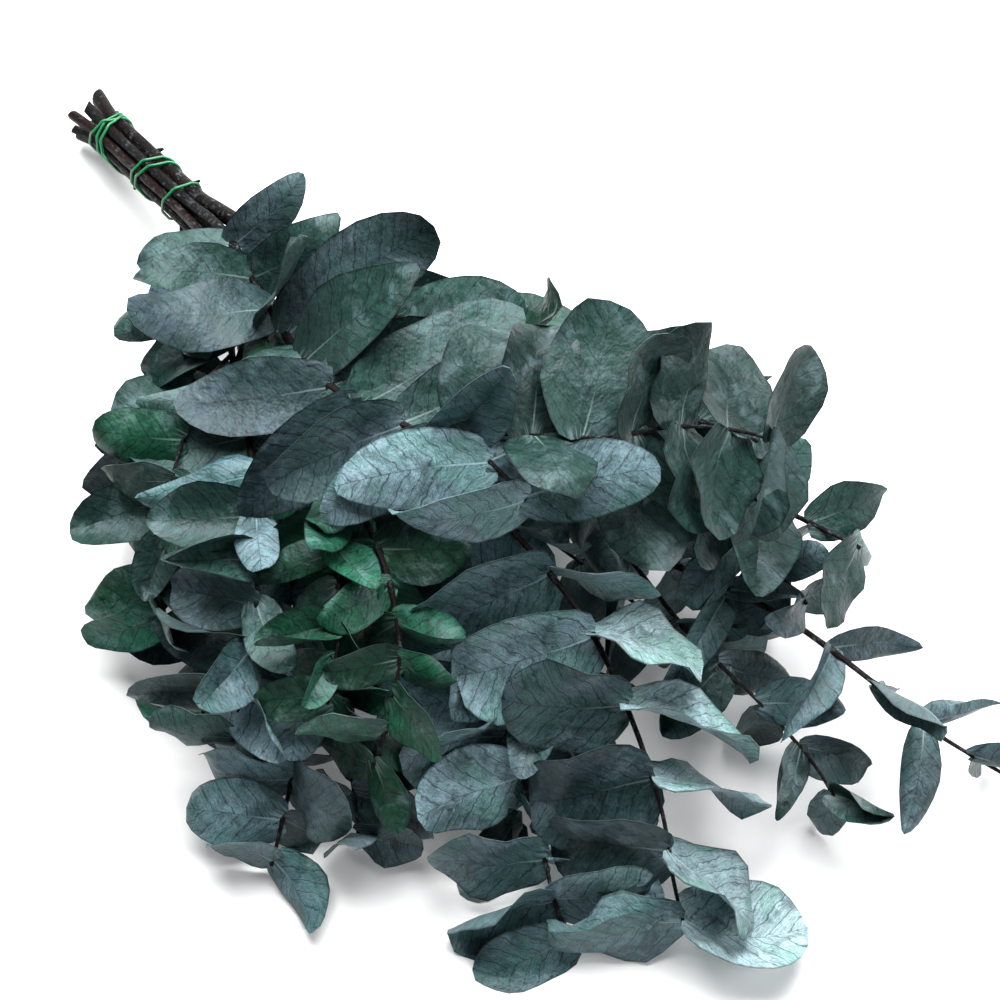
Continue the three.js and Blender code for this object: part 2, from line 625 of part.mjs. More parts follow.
// The cord as one tube. Where a later turn crosses an earlier one it rides over it.
function cordSolid() {
  const stops = cordStops();
  const first = Math.ceil(WINDING[0].turn * stops.length);
  const count = Math.floor(WINDING[WINDING.length - 1].turn * stops.length) - first;
  const places = [];
  const lifts = [];
  const points = [];
  for (let i = 0; i <= count; i += 1) {
    const turn = (first + i) / stops.length;
    const next = Math.max(1, WINDING.findIndex((w) => w.turn >= turn));
    const [from, to] = [WINDING[next - 1], WINDING[next]];
    places.push(from.along + ((to.along - from.along) * (turn - from.turn)) / (to.turn - from.turn));
    let lift = 0;
    for (let j = i - stops.length; j >= 0; j -= stops.length) {
      const apart = Math.abs(places[i] - places[j]);
      if (apart < CORD_PITCH) lift = Math.max(lift, lifts[j] + Math.sqrt(CORD_PITCH ** 2 - apart ** 2));
    }
    lifts.push(lift);
    const { seat, facing, radius } = stops[(first + i) % stops.length];
    const out = radius + CORD_GAP + CORD_RADIUS + lift;
    points.push(bindPoint(places[i], seat[0] + facing[0] * out, seat[1] + facing[1] * out));
  }
  return tubeSolid(points.map((place, i) => {
    const heading = unit(sub(points[Math.min(count, i + 1)], points[Math.max(0, i - 1)]));
    const side = across(BIND_AXIS, heading);
    return ringPoints({ place, side, up: cross(heading, side), radius: CORD_RADIUS }, CORD_SIDES, 0);
  }));
}

function meshOf(name, solid, material) {
  const { numProp, vertProperties, triVerts } = solid.getMesh();
  const count = vertProperties.length / numProp;
  const positions = new Float32Array(count * 3);
  for (let i = 0; i < count; i += 1) positions.set(vertProperties.subarray(i * numProp, i * numProp + 3), i * 3);
  const geometry = new THREE.BufferGeometry();
  geometry.setAttribute('position', new THREE.BufferAttribute(positions, 3));
  geometry.setIndex(new THREE.BufferAttribute(new Uint32Array(triVerts), 1));
  geometry.computeVertexNormals();
  const mesh = new THREE.Mesh(geometry, material);
  mesh.name = name;
  return mesh;
}

const FOLIAGE = new THREE.MeshStandardMaterial({ color: 0x4b6a68, roughness: 0.6, metalness: 0 });
const ELASTIC = new THREE.MeshStandardMaterial({ color: 0x1f9a5c, roughness: 0.5, metalness: 0 });

const bunch = new THREE.Group();
bunch.name = 'eucalyptus_bunch';

const branches = growBranches();
const grown = growLeaves(branches);
STEMS.forEach((stem, number) => {
  const wood = branches.filter((b) => b.number === number)
    .map((b) => tubeSolid(ringsOf(b).map((ring) => ringPoints(ring, b.sides, 0))));
  const blades = grown.filter((l) => l.number === number).map((l) => bladeSolid(l.places));
  const name = `leafy_stem_${String(number + 1).padStart(2, '0')}`;
  bunch.add(meshOf(name, wasm.Manifold.union([...wood, ...blades]), FOLIAGE));
});
bunch.add(meshOf('tie_cord', cordSolid(), ELASTIC));

export default bunch;
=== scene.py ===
import math
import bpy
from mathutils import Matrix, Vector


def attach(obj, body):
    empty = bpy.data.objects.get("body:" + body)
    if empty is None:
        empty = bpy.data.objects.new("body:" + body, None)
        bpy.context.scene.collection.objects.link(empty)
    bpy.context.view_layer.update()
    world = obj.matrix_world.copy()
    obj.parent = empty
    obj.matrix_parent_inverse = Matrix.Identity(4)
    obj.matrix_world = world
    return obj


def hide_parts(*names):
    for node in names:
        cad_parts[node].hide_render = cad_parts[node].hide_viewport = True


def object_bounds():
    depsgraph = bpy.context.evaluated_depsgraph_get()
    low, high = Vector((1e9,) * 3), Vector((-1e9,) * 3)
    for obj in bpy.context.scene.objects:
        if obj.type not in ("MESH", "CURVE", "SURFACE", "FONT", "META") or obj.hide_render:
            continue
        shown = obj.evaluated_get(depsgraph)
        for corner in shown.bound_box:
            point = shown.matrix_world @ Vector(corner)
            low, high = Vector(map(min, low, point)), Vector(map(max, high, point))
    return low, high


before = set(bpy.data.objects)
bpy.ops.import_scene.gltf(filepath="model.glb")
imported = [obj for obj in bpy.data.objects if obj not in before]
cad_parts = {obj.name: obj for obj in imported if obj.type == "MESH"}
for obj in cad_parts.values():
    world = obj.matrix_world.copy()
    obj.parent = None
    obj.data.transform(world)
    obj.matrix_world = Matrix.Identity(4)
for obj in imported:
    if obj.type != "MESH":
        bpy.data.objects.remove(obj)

from types import SimpleNamespace as Record

import bpy
import numpy as np
from mathutils import Vector, kdtree

cad_box = [[float(x) for x in corner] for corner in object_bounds()]

# The studio: a white table top, a pale room that lights the bunch from all round, one big soft lamp behind it
# on the left, and the camera high on the right of the cut ends, looking along the fan of leaves.
VIEW_AZIMUTH = math.radians(52)
VIEW_ELEVATION = math.radians(65)
VIEW_DISTANCE = 1.8
VIEW_WIDTH = 0.520  # how much the picture takes in, measured at the bunch
VIEW_AIM = Vector((-0.002, 0.053, 0.0))
SENSOR_WIDTH = 36
TABLE_WIDTH = 8
TABLE_GLOW = 0.14
ROOM_COLOUR = (0.93, 0.96, 1.0, 1)
ROOM_LIGHT = 0.115
LAMPS = [  # place, width, power
    ((-0.75, 0.6, 1.6), 1.8, 119),
    ((1.2, 0.9, 1.0), 0.6, 12),
]


def cleared():
    bpy.ops.object.select_all(action="DESELECT")


def new_material(name):
    """A material, its tree and its shader. The functions below add their nodes to the newest tree."""
    material = bpy.data.materials.new(name)
    material.use_nodes = True
    return material, material.node_tree, material.node_tree.nodes["Principled BSDF"]


def plugged(node, inputs):
    """The node with its values, and with links where a value is another node's socket."""
    for socket, value in inputs.items():
        if isinstance(value, bpy.types.NodeSocket):
            tree.links.new(value, node.inputs[socket])
        else:
            node.inputs[socket].default_value = value
    return node


def wired(kind, inputs, **settings):
    node = tree.nodes.new("ShaderNode" + kind)
    for name, value in settings.items():
        setattr(node, name, value)
    return plugged(node, inputs)


def ranged(value, low, high, at_low=0.0, at_high=1.0, curve="LINEAR"):
    """What is at_low where the value is low, at_high where it is high, and in between on the way."""
    return wired("MapRange", {
        "Value": value, "From Min": low, "From Max": high, "To Min": at_low, "To Max": at_high,
    }, interpolation_type=curve).outputs["Result"]


back = Vector((
    math.sin(VIEW_AZIMUTH) * math.cos(VIEW_ELEVATION),
    -math.cos(VIEW_AZIMUTH) * math.cos(VIEW_ELEVATION),
    math.sin(VIEW_ELEVATION),
))
bpy.ops.object.camera_add(location=VIEW_AIM + back * VIEW_DISTANCE)
camera = bpy.context.object
camera.rotation_euler = back.to_track_quat("Z", "Y").to_euler()
camera.data.sensor_width = SENSOR_WIDTH
camera.data.lens = SENSOR_WIDTH * VIEW_DISTANCE / VIEW_WIDTH
bpy.context.scene.camera = camera
bpy.context.scene.view_settings.view_transform = "Standard"

cleared()
bpy.ops.mesh.primitive_plane_add(size=TABLE_WIDTH)
table = bpy.context.object
table.name = "table"
table_white, tree, shader = new_material("white_table")
speckle = wired("TexNoise", {"Scale": 40.0, "Detail": 3.0}).outputs["Fac"]
plugged(shader, {
    "Base Color": ranged(speckle, 0.0, 1.0, 0.86, 0.9), "Roughness": 0.9,
    "Emission Color": (1, 1, 1, 1), "Emission Strength": TABLE_GLOW,
})
table.data.materials.append(table_white)

for place, width, power in LAMPS:
    bpy.ops.object.light_add(type="AREA", location=place)
    lamp = bpy.context.object
    lamp.data.size = width
    lamp.data.energy = power
    lamp.rotation_euler = Vector(place).to_track_quat("Z", "Y").to_euler()
room = bpy.data.worlds.new("pale_room")
bpy.context.scene.world = room
room.use_nodes = True
air = room.node_tree.nodes["Background"]
air.inputs["Color"].default_value = ROOM_COLOUR
air.inputs["Strength"].default_value = ROOM_LIGHT

# The wood of the eleven stems: eucalyptus twigs whose bark has dried nearly black. They are cut at a slant,
# bound side by side near their cut ends, and fan out under the leaves. Each runs through its own points, in
# millimetres along the bunch, across it and up, counted from the mouth's place on the table.
MM = 0.001
MOUTH = np.array([-179.0, 15.0, 60.0])  # where the axis of the bound stems goes in under the leaves
BIND_SLOPE = math.radians(18.5)
BIND_AXIS = np.array([math.cos(BIND_SLOPE), 0.0, math.sin(BIND_SLOPE)])
BIND_SIDE = np.array([0.0, 1.0, 0.0])
BIND_UP = np.array([-math.sin(BIND_SLOPE), 0.0, math.cos(BIND_SLOPE)])
CUT_END = -137  # place of the cut ends on that axis, counted from the mouth
HELD_AT = [-128, -112, -78, -40]  # places where the stems lie side by side, along that axis
INNER_RING = 2.7  # distance of the three inner stems from the axis
OUTER_RING = 8.2  # distance of the eight outer stems from the axis
END_SPLAY = 1.45  # the cut ends stand this much further apart than the bound stems
MOUTH_SPLAY = 1.6  # and so do the stems at the mouth
LINE_STEPS = 10  # straight steps between two points of a route
BARE_TIP = 3  # length of a branch beyond its last pair of leaves
TIP_RADIUS = 0.9
STEM_TAPER = 1.6  # above 1, a branch stays thick for longer before it thins
TWIG_TAPER = 1
TWIG_SHARE = 0.72  # a side twig's radius as a share of its stem's
RING_STEP = 30  # distance between the rings of a solid stem
LEAST_RING_STEP = 7

# Leaf forms: width as a share of length, where the blade is widest, and how blunt its outline is.
LANCE = (0.5, 0.42, 0.74)
BROAD = (0.64, 0.45, 0.66)
ROUND = (0.82, 0.5, 0.55)
NARROW = (0.36, 0.45, 0.8)

# Leaf tones, as they look in daylight: slate, deep teal, pale blue-grey, silver with a painted sheen, green
# and near-black green.
SLATE = [(62, 80, 86), (48, 65, 71), (74, 94, 100)]
TEAL = [(58, 85, 82), (45, 73, 69), (36, 62, 58)]
PALE = [(120, 147, 156), (97, 124, 132), (74, 101, 108)]
# The silver tones: the pale bloom of leaves stood on edge, lightened further with painted light where the
# lamp catches them.
SILVER_SHEEN = [(160, 186, 192), (146, 172, 179)]
GREEN = [(28, 77, 57), (38, 95, 75), (24, 61, 46)]
DEEP = [(28, 49, 46), (36, 60, 57)]


def leaves(form, lengths, first, step, face, spread, skew, turn, tones, stray=1, edgewise=0, curl=0, paler=1):
    """What grows on a branch: the form of its leaves, their length at its start, at their longest and at its
    tip, the place of the first pair and the distance between pairs, the way the blades face, their angle to
    the branch, its skew, the turn from pair to pair, and the tones. Then how much the leaves stray, how far
    the second of a pair is tipped on its edge, how far they roll, and the share past which all are pale."""
    return Record(
        form=form, lengths=lengths, first=first, step=step, face=np.array(face, float), spread=spread,
        skew=skew, turn=turn, tones=tones, stray=stray, edgewise=edgewise, curl=curl, paler=paler,
    )


# Each twig has the number of the point of the stem's route that it grows from, its own route and its leaves.
STEMS = [
    {"angle": 95, "ring": OUTER_RING, "radius": 2.95, "overhang": 4,
     "route": [[50, -12, 86], [106, -24, 112], [147, -20, 130], [181, -8, 141], [212, 4, 147], [240, 6, 146]],
     "foliage": leaves(LANCE, [62, 98, 72], 142, 25, [0.3, -0.3, 1], 84, 24, 14,
                       TEAL + SLATE[:2], paler=0.75),
     "twigs": [
         (3, [[208, 18, 153], [238, 50, 157], [254, 84, 152], [270, 108, 144], [284, 124, 134]],
          leaves(ROUND, [60, 66, 50], 20, 24, [0.35, -0.3, 1], 84, 8, 14, DEEP + TEAL[2:], 0.6)),
     ]},
    {"angle": 347, "ring": OUTER_RING, "radius": 2.7, "overhang": 0,
     "route": [[34, 12, 70], [76, 26, 82], [118, 42, 92], [150, 58, 98], [190, 82, 100], [228, 108, 96],
               [262, 134, 86]],
     "foliage": leaves(BROAD, [50, 78, 48], 138, 27, [-0.1, 0.2, 1], 66, 18, 22,
                       DEEP + GREEN[2:] + TEAL[1:2])},
    {"angle": 40, "ring": OUTER_RING, "radius": 4.2, "overhang": 10,
     "route": [[62, 4, 78], [140, 24, 97], [204, 54, 105], [258, 86, 104], [304, 116, 98], [338, 136, 87]],
     "foliage": leaves(BROAD, [60, 62, 44], 196, 25, [0.4, 0.2, 1], 72, 15, 26, TEAL + DEEP[1:]),
     "twigs": [
         (3, [[276, 90, 90], [308, 98, 78], [340, 102, 70]],
          leaves(BROAD, [46, 46, 36], 22, 22, [0.5, -0.2, 1], 70, 10, 30, SLATE)),
     ]},
    {"angle": 305, "ring": OUTER_RING, "radius": 2.8, "overhang": 6,
     "route": [[72, 12, 52], [175, 30, 56], [249, 52, 62], [301, 74, 66], [338, 90, 66], [393, 104, 62],
               [426, 111, 58], [452, 121, 54], [476, 131, 50]],
     "foliage": leaves(NARROW, [60, 68, 50], 290, 29, [0.6, -0.5, 0.7], 62, 10, 62,
                       SLATE + SLATE[2:], curl=0.9),
     "twigs": [
         (2, [[314, 52, 52], [363, 58, 46], [400, 60, 39], [418, 58, 35]],
          leaves(BROAD, [50, 48, 36], 44, 28, [0.4, -0.3, 1], 60, 10, 40, SLATE + DEEP, curl=0.7)),
     ]},
    {"angle": 85, "ring": INNER_RING, "radius": 2.15, "overhang": -4,
     "route": [[87, -6, 98], [150, -4, 110], [205, -2, 114], [252, 2, 108], [292, 2, 98], [335, -6, 80],
               [378, -20, 60], [402, -32, 42], [420, -39, 24]],
     "foliage": leaves(ROUND, [64, 70, 62], 312, 37, [0.35, -0.3, 1], 78, 12, 8, SLATE + PALE, 0.6, 94)},
    {"angle": 325, "ring": INNER_RING, "radius": 2.15, "overhang": 0,
     "route": [[97, -14, 60], [193, -26, 70], [252, -40, 66], [296, -52, 55], [335, -64, 40], [362, -76, 24],
               [374, -80, 15], [390, -84, 8]],
     "foliage": leaves(ROUND, [60, 60, 54], 268, 21, [0.3, -0.3, 1], 80, 12, 14, PALE + PALE[1:2], 0.5),
     "twigs": [
         (2, [[288, -34, 60], [322, -30, 50], [346, -32, 42]],
          leaves(BROAD, [54, 50, 42], 32, 24, [0.3, 0, 1], 66, 12, 24, DEEP + SLATE)),
     ]},
    {"angle": 139, "ring": OUTER_RING, "radius": 2.7, "overhang": 8,
     "route": [[76, -26, 86], [147, -42, 104], [204, -56, 106], [242, -74, 95], [264, -98, 78],
               [274, -116, 60]],
     "foliage": leaves(BROAD, [50, 50, 38], 212, 18, [0.3, -0.4, 1], 62, 10, 32, GREEN, curl=0.45),
     "twigs": [
         (1, [[190, -72, 106], [222, -96, 98], [242, -118, 84]],
          leaves(BROAD, [44, 46, 36], 20, 18, [0.2, -0.5, 1], 62, 10, 32, GREEN, curl=0.45)),
     ]},
    {"angle": 221, "ring": OUTER_RING, "radius": 2.9, "overhang": 8,
     "route": [[75, -42, 54], [150, -76, 58], [205, -108, 54], [237, -136, 38], [258, -162, 20],
               [268, -176, 10]],
     "foliage": leaves(ROUND, [56, 56, 46], 208, 21, [0.3, -0.4, 1], 76, 12, 22, SLATE[::2] + PALE[1:]),
     "twigs": [
         (2, [[240, -112, 40], [264, -122, 24], [284, -134, 12]],
          leaves(ROUND, [48, 48, 42], 24, 20, [0.3, -0.3, 1], 76, 10, 22, SLATE)),
         (0, [[114, -96, 34], [160, -132, 18], [182, -156, 8]],
          leaves(BROAD, [56, 56, 46], 38, 23, [0, -0.7, 0.6], 66, 14, 34, GREEN + DEEP)),
     ]},
    {"angle": 205, "ring": INNER_RING, "radius": 2.15, "overhang": 4,
     "route": [[60, -42, 82], [112, -68, 98], [154, -94, 97], [186, -120, 84], [206, -144, 66],
               [218, -160, 52]],
     "foliage": leaves(BROAD, [58, 64, 50], 142, 22, [0.1, -0.5, 1], 74, 16, 28,
                       TEAL + SLATE[:1] + PALE[1:], curl=0.5),
     "twigs": [
         (0, [[72, -66, 96], [88, -90, 95], [102, -110, 86]],
          leaves(BROAD, [54, 52, 44], 20, 21, [0.1, -0.5, 1], 66, 10, 28, TEAL + GREEN)),
     ]},
    {"angle": 180, "ring": OUTER_RING, "radius": 2.5, "overhang": 6,
     "route": [[36, -36, 70], [62, -68, 76], [90, -98, 70], [118, -124, 57], [142, -148, 42]],
     "foliage": leaves(BROAD, [54, 60, 48], 144, 20, [-0.1, -0.5, 0.9], 60, 8, 34,
                       GREEN + TEAL + DEEP, curl=0.3)},
    {"angle": 263, "ring": OUTER_RING, "radius": 2.6, "overhang": 2,
     "route": [[60, -14, 42], [120, -30, 30], [200, -46, 18], [286, -62, 9], [326, -68, 5]],
     "foliage": leaves(BROAD, [60, 58, 46], 190, 42, [0, -0.2, -1], 74, 14, 30, DEEP),
     "twigs": [
         (0, [[120, 10, 33], [200, 34, 20], [272, 54, 10], [320, 58, 6]],
          leaves(BROAD, [58, 60, 46], 50, 42, [0, 0.3, -1], 74, 14, 30, DEEP)),
     ]},
]


def drawer(seed):
    """A seeded draw between -1 and 1."""
    state = seed * 7919 + 17

    def draw():
        nonlocal state
        state = (state * 16807) % 2147483647
        return state / 2147483647 * 2 - 1

    return draw


def unit(a):
    return a / math.sqrt(float(a @ a))


def across(a, axis):
    """The part of a that is square to the axis."""
    return unit(a - axis * float(a @ axis))


def bind_point(along, side, up):
    return MOUTH + BIND_AXIS * along + BIND_SIDE * side + BIND_UP * up


def travelled(path):
    """The length along a path up to each of its points."""
    return np.concatenate([[0], np.cumsum(np.linalg.norm(np.diff(path, axis=0), axis=1))])


def smooth_line(points):
    """A smooth line through points, as short straight steps, with the length up to each."""
    points = [np.array(p, float) for p in points]
    ends = [2 * points[0] - points[1]] + points + [2 * points[-1] - points[-2]]
    path = [points[0]]
    for a, b, c, d in zip(ends, ends[1:], ends[2:], ends[3:]):
        gaps = [float((q - p) @ (q - p)) ** 0.25 for p, q in ((a, b), (b, c), (c, d))]
        out = ((b - a) / gaps[0] - (c - a) / (gaps[0] + gaps[1]) + (c - b) / gaps[1]) * gaps[1]
        into = ((c - b) / gaps[1] - (d - b) / (gaps[1] + gaps[2]) + (d - c) / gaps[2]) * gaps[1]
        for k in range(1, LINE_STEPS + 1):
            w = k / LINE_STEPS
            squared = (3 * (c - b) - 2 * out - into) * w ** 2
            path.append(b + out * w + squared + (2 * (b - c) + out + into) * w ** 3)
    path = np.array(path)
    lengths = travelled(path)
    return Record(path=path, lengths=lengths, total=float(lengths[-1]))


def place_on(line, distance):
    return np.array([np.interp(distance, line.lengths, line.path[:, k]) for k in range(3)])


def heading_on(line, distance):
    reach = 5
    ahead = place_on(line, min(line.total, distance + reach))
    return unit(ahead - place_on(line, max(0, distance - reach)))


def seat_on(branch, distance):
    """A point on the straight axis between two rings of the solid stem, where a leaf or a twig is rooted."""
    places = branch.places
    after = max(1, next(i for i, p in enumerate(places) if p >= distance))
    start, end = places[after - 1], places[after]
    begin = place_on(branch.line, start)
    return begin + (place_on(branch.line, end) - begin) * ((distance - start) / (end - start))


def grown_branch(points, number, foliage, held, start, taper):
    """One branch of a stem, whose first points are held in the bundle: its line, its radius at the start, its
    taper, the places of its leaf pairs, and those of the rings of its solid."""
    line = smooth_line(points)
    last = line.total - BARE_TIP
    count = math.floor((last - foliage.first) / foliage.step)
    pairs = [last - (count - pair) * foliage.step for pair in range(count + 1)]
    bound = float(line.lengths[(held - 1) * LINE_STEPS]) if held else 0.0
    between = [pair - foliage.step / 2 for pair in pairs]
    between = [place for place in between if place > bound + LEAST_RING_STEP]
    spans = max(1, math.floor((between[0] - bound) / RING_STEP + 0.5))
    places = [float(line.lengths[i * LINE_STEPS]) for i in range(max(0, held - 1))]
    places += [bound + (between[0] - bound) * i / spans for i in range(spans)]
    places += between + [line.total]
    return Record(
        number=number, line=line, foliage=foliage, pairs=pairs, places=places, start=start, taper=taper,
        held=held,
    )


def radius_at(branch, distance):
    share = distance / branch.line.total
    return branch.start + (TIP_RADIUS - branch.start) * share ** branch.taper


branches = []
under_mouth = np.array([MOUTH[0], MOUTH[1], 0.0])
for number, stem in enumerate(STEMS):
    side = stem["ring"] * math.cos(math.radians(stem["angle"]))
    up = stem["ring"] * math.sin(math.radians(stem["angle"]))
    splay = END_SPLAY if stem["ring"] == OUTER_RING else 1
    seats = [bind_point(CUT_END - stem["overhang"], side * splay, up * splay)]
    seats += [bind_point(along, side, up) for along in HELD_AT]
    seats.append(bind_point(0, side * MOUTH_SPLAY, up * MOUTH_SPLAY))
    points = seats + [under_mouth + p for p in stem["route"]]
    trunk = grown_branch(points, number, stem["foliage"], len(seats), stem["radius"], STEM_TAPER)
    branches.append(trunk)
    for begin, route, foliage in stem.get("twigs", []):
        joint = float(trunk.line.lengths[(len(seats) + begin) * LINE_STEPS])
        points = [seat_on(trunk, joint)] + [under_mouth + p for p in route]
        start = radius_at(trunk, joint) * TWIG_SHARE
        branches.append(grown_branch(points, number, foliage, 0, start, TWIG_TAPER))

# How the bark is shaped: its rings, the knots at the leaf pairs, its uneven girth and the slanting cut.
BARK_SEED = 400
BARK_SIDES = 12
TWIG_SIDES = 7
BOUND_LENGTH = 150  # the bare stems up to here have their rings closer
BOUND_RINGS = 4.5
FREE_RINGS = 8.0
LEAST_RINGS = 0.8
KNOT_REACH = 3.2  # half the length of the swelling at a leaf pair
KNOT_RINGS = 1.2
KNOT_SWELL = 0.34
KNOT_SHARPNESS = 1.6
LOBES = [(2, 0.05, 23), (3, 0.045, math.inf), (5, 0.035, 13)]  # how many, how high, and how slowly they wind
RIPPLES = [9, 3.7]  # how long the shallow waves along the bark are
RIPPLE_HEIGHT = 0.03
SLANT = 0.55
SLANT_STRAY = 0.45
SLANT_FADE = 14  # how far from the cut end its slant still shows
CUT_RING = 0.62  # an inner ring of the cut face, as a share of its rim


def bark_rings(branch):
    """Where the bark has its rings: every few millimetres, and closer over each knot."""
    total = branch.line.total
    bare = BOUND_LENGTH if branch.held else 0
    places = [*np.arange(0.0, bare, BOUND_RINGS), *np.arange(float(bare), total, FREE_RINGS), total]
    for pair in branch.pairs:
        places += [pair - KNOT_REACH, pair - KNOT_RINGS, pair, pair + KNOT_RINGS]
    places = sorted(p for p in set(places) if 0 <= p <= total)
    kept = [places[0]]
    for place in places[1:]:
        if place - kept[-1] > LEAST_RINGS:
            kept.append(place)
    kept[-1] = total
    return kept


def around(sides):
    """Angles spread evenly round."""
    return np.arange(sides) * (2 * math.pi / sides)


def circle(reach, turns, side, up):
    """Points round a middle at these angles, from side towards up, each as far out as its reach."""
    return np.outer(np.cos(turns) * reach, side) + np.outer(np.sin(turns) * reach, up)


def bark_tube(branch, index):
    """Rings of points round a branch, uneven as bark is, with each ring's distance along it. A stem that was
    cut starts with a slanting cut face."""
    draw = drawer(BARK_SEED + index)
    turns = around(BARK_SIDES if branch.held else TWIG_SIDES)
    phases = [draw() * 3 for _ in range(4)]
    slant = SLANT + SLANT_STRAY * draw()
    side = BIND_SIDE
    places = bark_rings(branch)
    rings = []
    for distance in places:
        heading = heading_on(branch.line, distance)
        side = across(side, heading)
        knots = [(distance - pair) / KNOT_REACH * KNOT_SHARPNESS for pair in branch.pairs]
        swell = min(1, sum(math.exp(-knot ** 2) for knot in knots))
        radius = radius_at(branch, distance) * (1 + KNOT_SWELL * swell)
        uneven = 1 + sum(
            high * np.sin(count * turns + phase + distance / slow)
            for (count, high, slow), phase in zip(LOBES, phases)
        )
        waves = math.sin(distance / RIPPLES[0] + phases[2]) + math.sin(distance / RIPPLES[1])
        reach = radius * uneven * (1 + RIPPLE_HEIGHT * waves)
        ring = place_on(branch.line, distance) + circle(reach, turns, side, np.cross(heading, side))
        if branch.held:
            sheared = slant * radius * (1 + np.cos(turns - phases[3])) * max(0, 1 - distance / SLANT_FADE)
            ring += np.outer(sheared, heading)
        rings.append(ring)
    if branch.held:
        middle = rings[0].mean(axis=0)
        rings.insert(0, middle + (rings[0] - middle) * CUT_RING)
        places = [0.0] + places
    return np.array(rings), places


def tube_faces(count, sides, first):
    """Faces of a closed tube of so many rings, its flat ends last. Its points start at the number first."""
    faces = []
    for i in range(count - 1):
        for k in range(sides):
            a, b = first + i * sides + k, first + i * sides + (k + 1) % sides
            faces.append((a, b, b + sides, a + sides))
    last = first + (count - 1) * sides
    return faces + [tuple(range(first + sides - 1, first - 1, -1)), tuple(range(last, last + sides))]


def set_uv(mesh, name, values):
    """A UV map from one pair of values for each point of the mesh."""
    layer = mesh.uv_layers.new(name=name)
    corners = np.zeros(len(mesh.loops), np.int32)
    mesh.loops.foreach_get("vertex_index", corners)
    layer.data.foreach_set("uv", np.asarray(values, np.float32)[corners].ravel())


def set_tone(mesh, name, values):
    """A colour for each point of the mesh."""
    layer = mesh.attributes.new(name=name, type="FLOAT_COLOR", domain="POINT")
    layer.data.foreach_set("color", np.asarray(values, np.float32).ravel())


def new_piece(name, points, faces, materials):
    mesh = bpy.data.meshes.new(name)
    mesh.from_pydata((np.asarray(points) * MM).tolist(), [], faces)
    mesh.update()
    for material in materials:
        mesh.materials.append(material)
    piece = bpy.data.objects.new(name, mesh)
    bpy.context.scene.collection.objects.link(piece)
    return piece


def smoothed(piece, degrees):
    cleared()
    piece.select_set(True)
    bpy.context.view_layer.objects.active = piece
    bpy.ops.object.shade_smooth_by_angle(angle=math.radians(degrees))


def linear(colour):
    """A screen colour of 0 to 255 a channel, as the linear colour that materials take."""
    shares = [c / 255 for c in colour]
    return tuple(c / 12.92 if c <= 0.04045 else ((c + 0.055) / 1.055) ** 2.4 for c in shares)


def paint(*colour):
    return (*linear(colour), 1)


def layer_of(name):
    return wired("UVMap", {}, uv_map=name).outputs["UV"]


def noise(place, scale, detail, roughness=0.5, distortion=0.0, space="3D"):
    return wired("TexNoise", {
        "Vector": place, "Scale": scale, "Detail": detail, "Roughness": roughness, "Distortion": distortion,
    }, noise_dimensions=space).outputs["Fac"]


def stretched(place, along, up):
    """A pattern's place with its two directions stretched, so that the pattern becomes grain."""
    return wired("Mapping", {"Vector": place, "Scale": (along, up, 1.0)}).outputs["Vector"]


def worked(operation, *values):
    return wired("Math", dict(enumerate(values)), operation=operation).outputs[0]


def plus(first, *others):
    for other in others:
        first = worked("ADD", first, other)
    return first


def times(first, *others):
    for other in others:
        first = worked("MULTIPLY", first, other)
    return first


def scaled(colour, factor):
    return wired("VectorMath", {0: colour, 3: factor}, operation="SCALE").outputs[0]


def blend(factor, a, b):
    return wired("Mix", {"Factor": factor, 6: a, 7: b}, data_type="RGBA").outputs[2]


def raised(height, strength, distance):
    bump = wired("Bump", {"Height": height, "Strength": strength, "Distance": distance})
    return bump.outputs["Normal"]


bark, tree, shader = new_material("dried_bark")
girth_mm = layer_of("bark")
tone = wired("Attribute", {}, attribute_name="bark_tone").outputs["Color"]
fibres = noise(stretched(girth_mm, 0.9, 0.09), 1.5, 6.0, 0.62)
rough = noise(girth_mm, 0.3, 7.0, 0.7)
patches = noise(girth_mm, 0.13, 5.0, 0.75)
dark = scaled(tone, ranged(fibres, 0.32, 0.68, 0.45, 1.0))
dark = blend(ranged(patches, 0.5, 0.38, 0.0, 0.8), dark, paint(33, 22, 20))
worn = ranged(patches, 0.52, 0.6)
streaked = ranged(fibres, 0.4, 0.6)
chalky = ranged(rough, 0.44, 0.56)
scuffed = blend(times(worn, streaked, chalky, 0.45), dark, paint(140, 148, 154))
cracked = blend(ranged(fibres, 0.34, 0.4, 0.6, 0.0), scuffed, paint(9, 8, 8))
plugged(shader, {
    "Base Color": cracked, "Roughness": ranged(rough, 0.35, 0.65, 0.22, 0.5), "Specular IOR Level": 0.07,
    "Normal": raised(plus(fibres, rough), 0.6, 0.001),
})

cut_wood, tree, shader = new_material("cut_wood")
section_mm = layer_of("cut_mm")
growth = wired("TexWave", {"Vector": section_mm, "Scale": 0.5, "Distortion": 1.2}, wave_type="RINGS",
               rings_direction="Z").outputs["Fac"]
grain = plus(noise(section_mm, 1.1, 5.0, 0.7), times(growth, 0.25))
plugged(shader, {
    "Base Color": blend(ranged(grain, 0.3, 0.95), paint(52, 44, 42), paint(122, 106, 96)), "Roughness": 0.8,
    "Normal": raised(grain, 0.6, 0.0004),
})

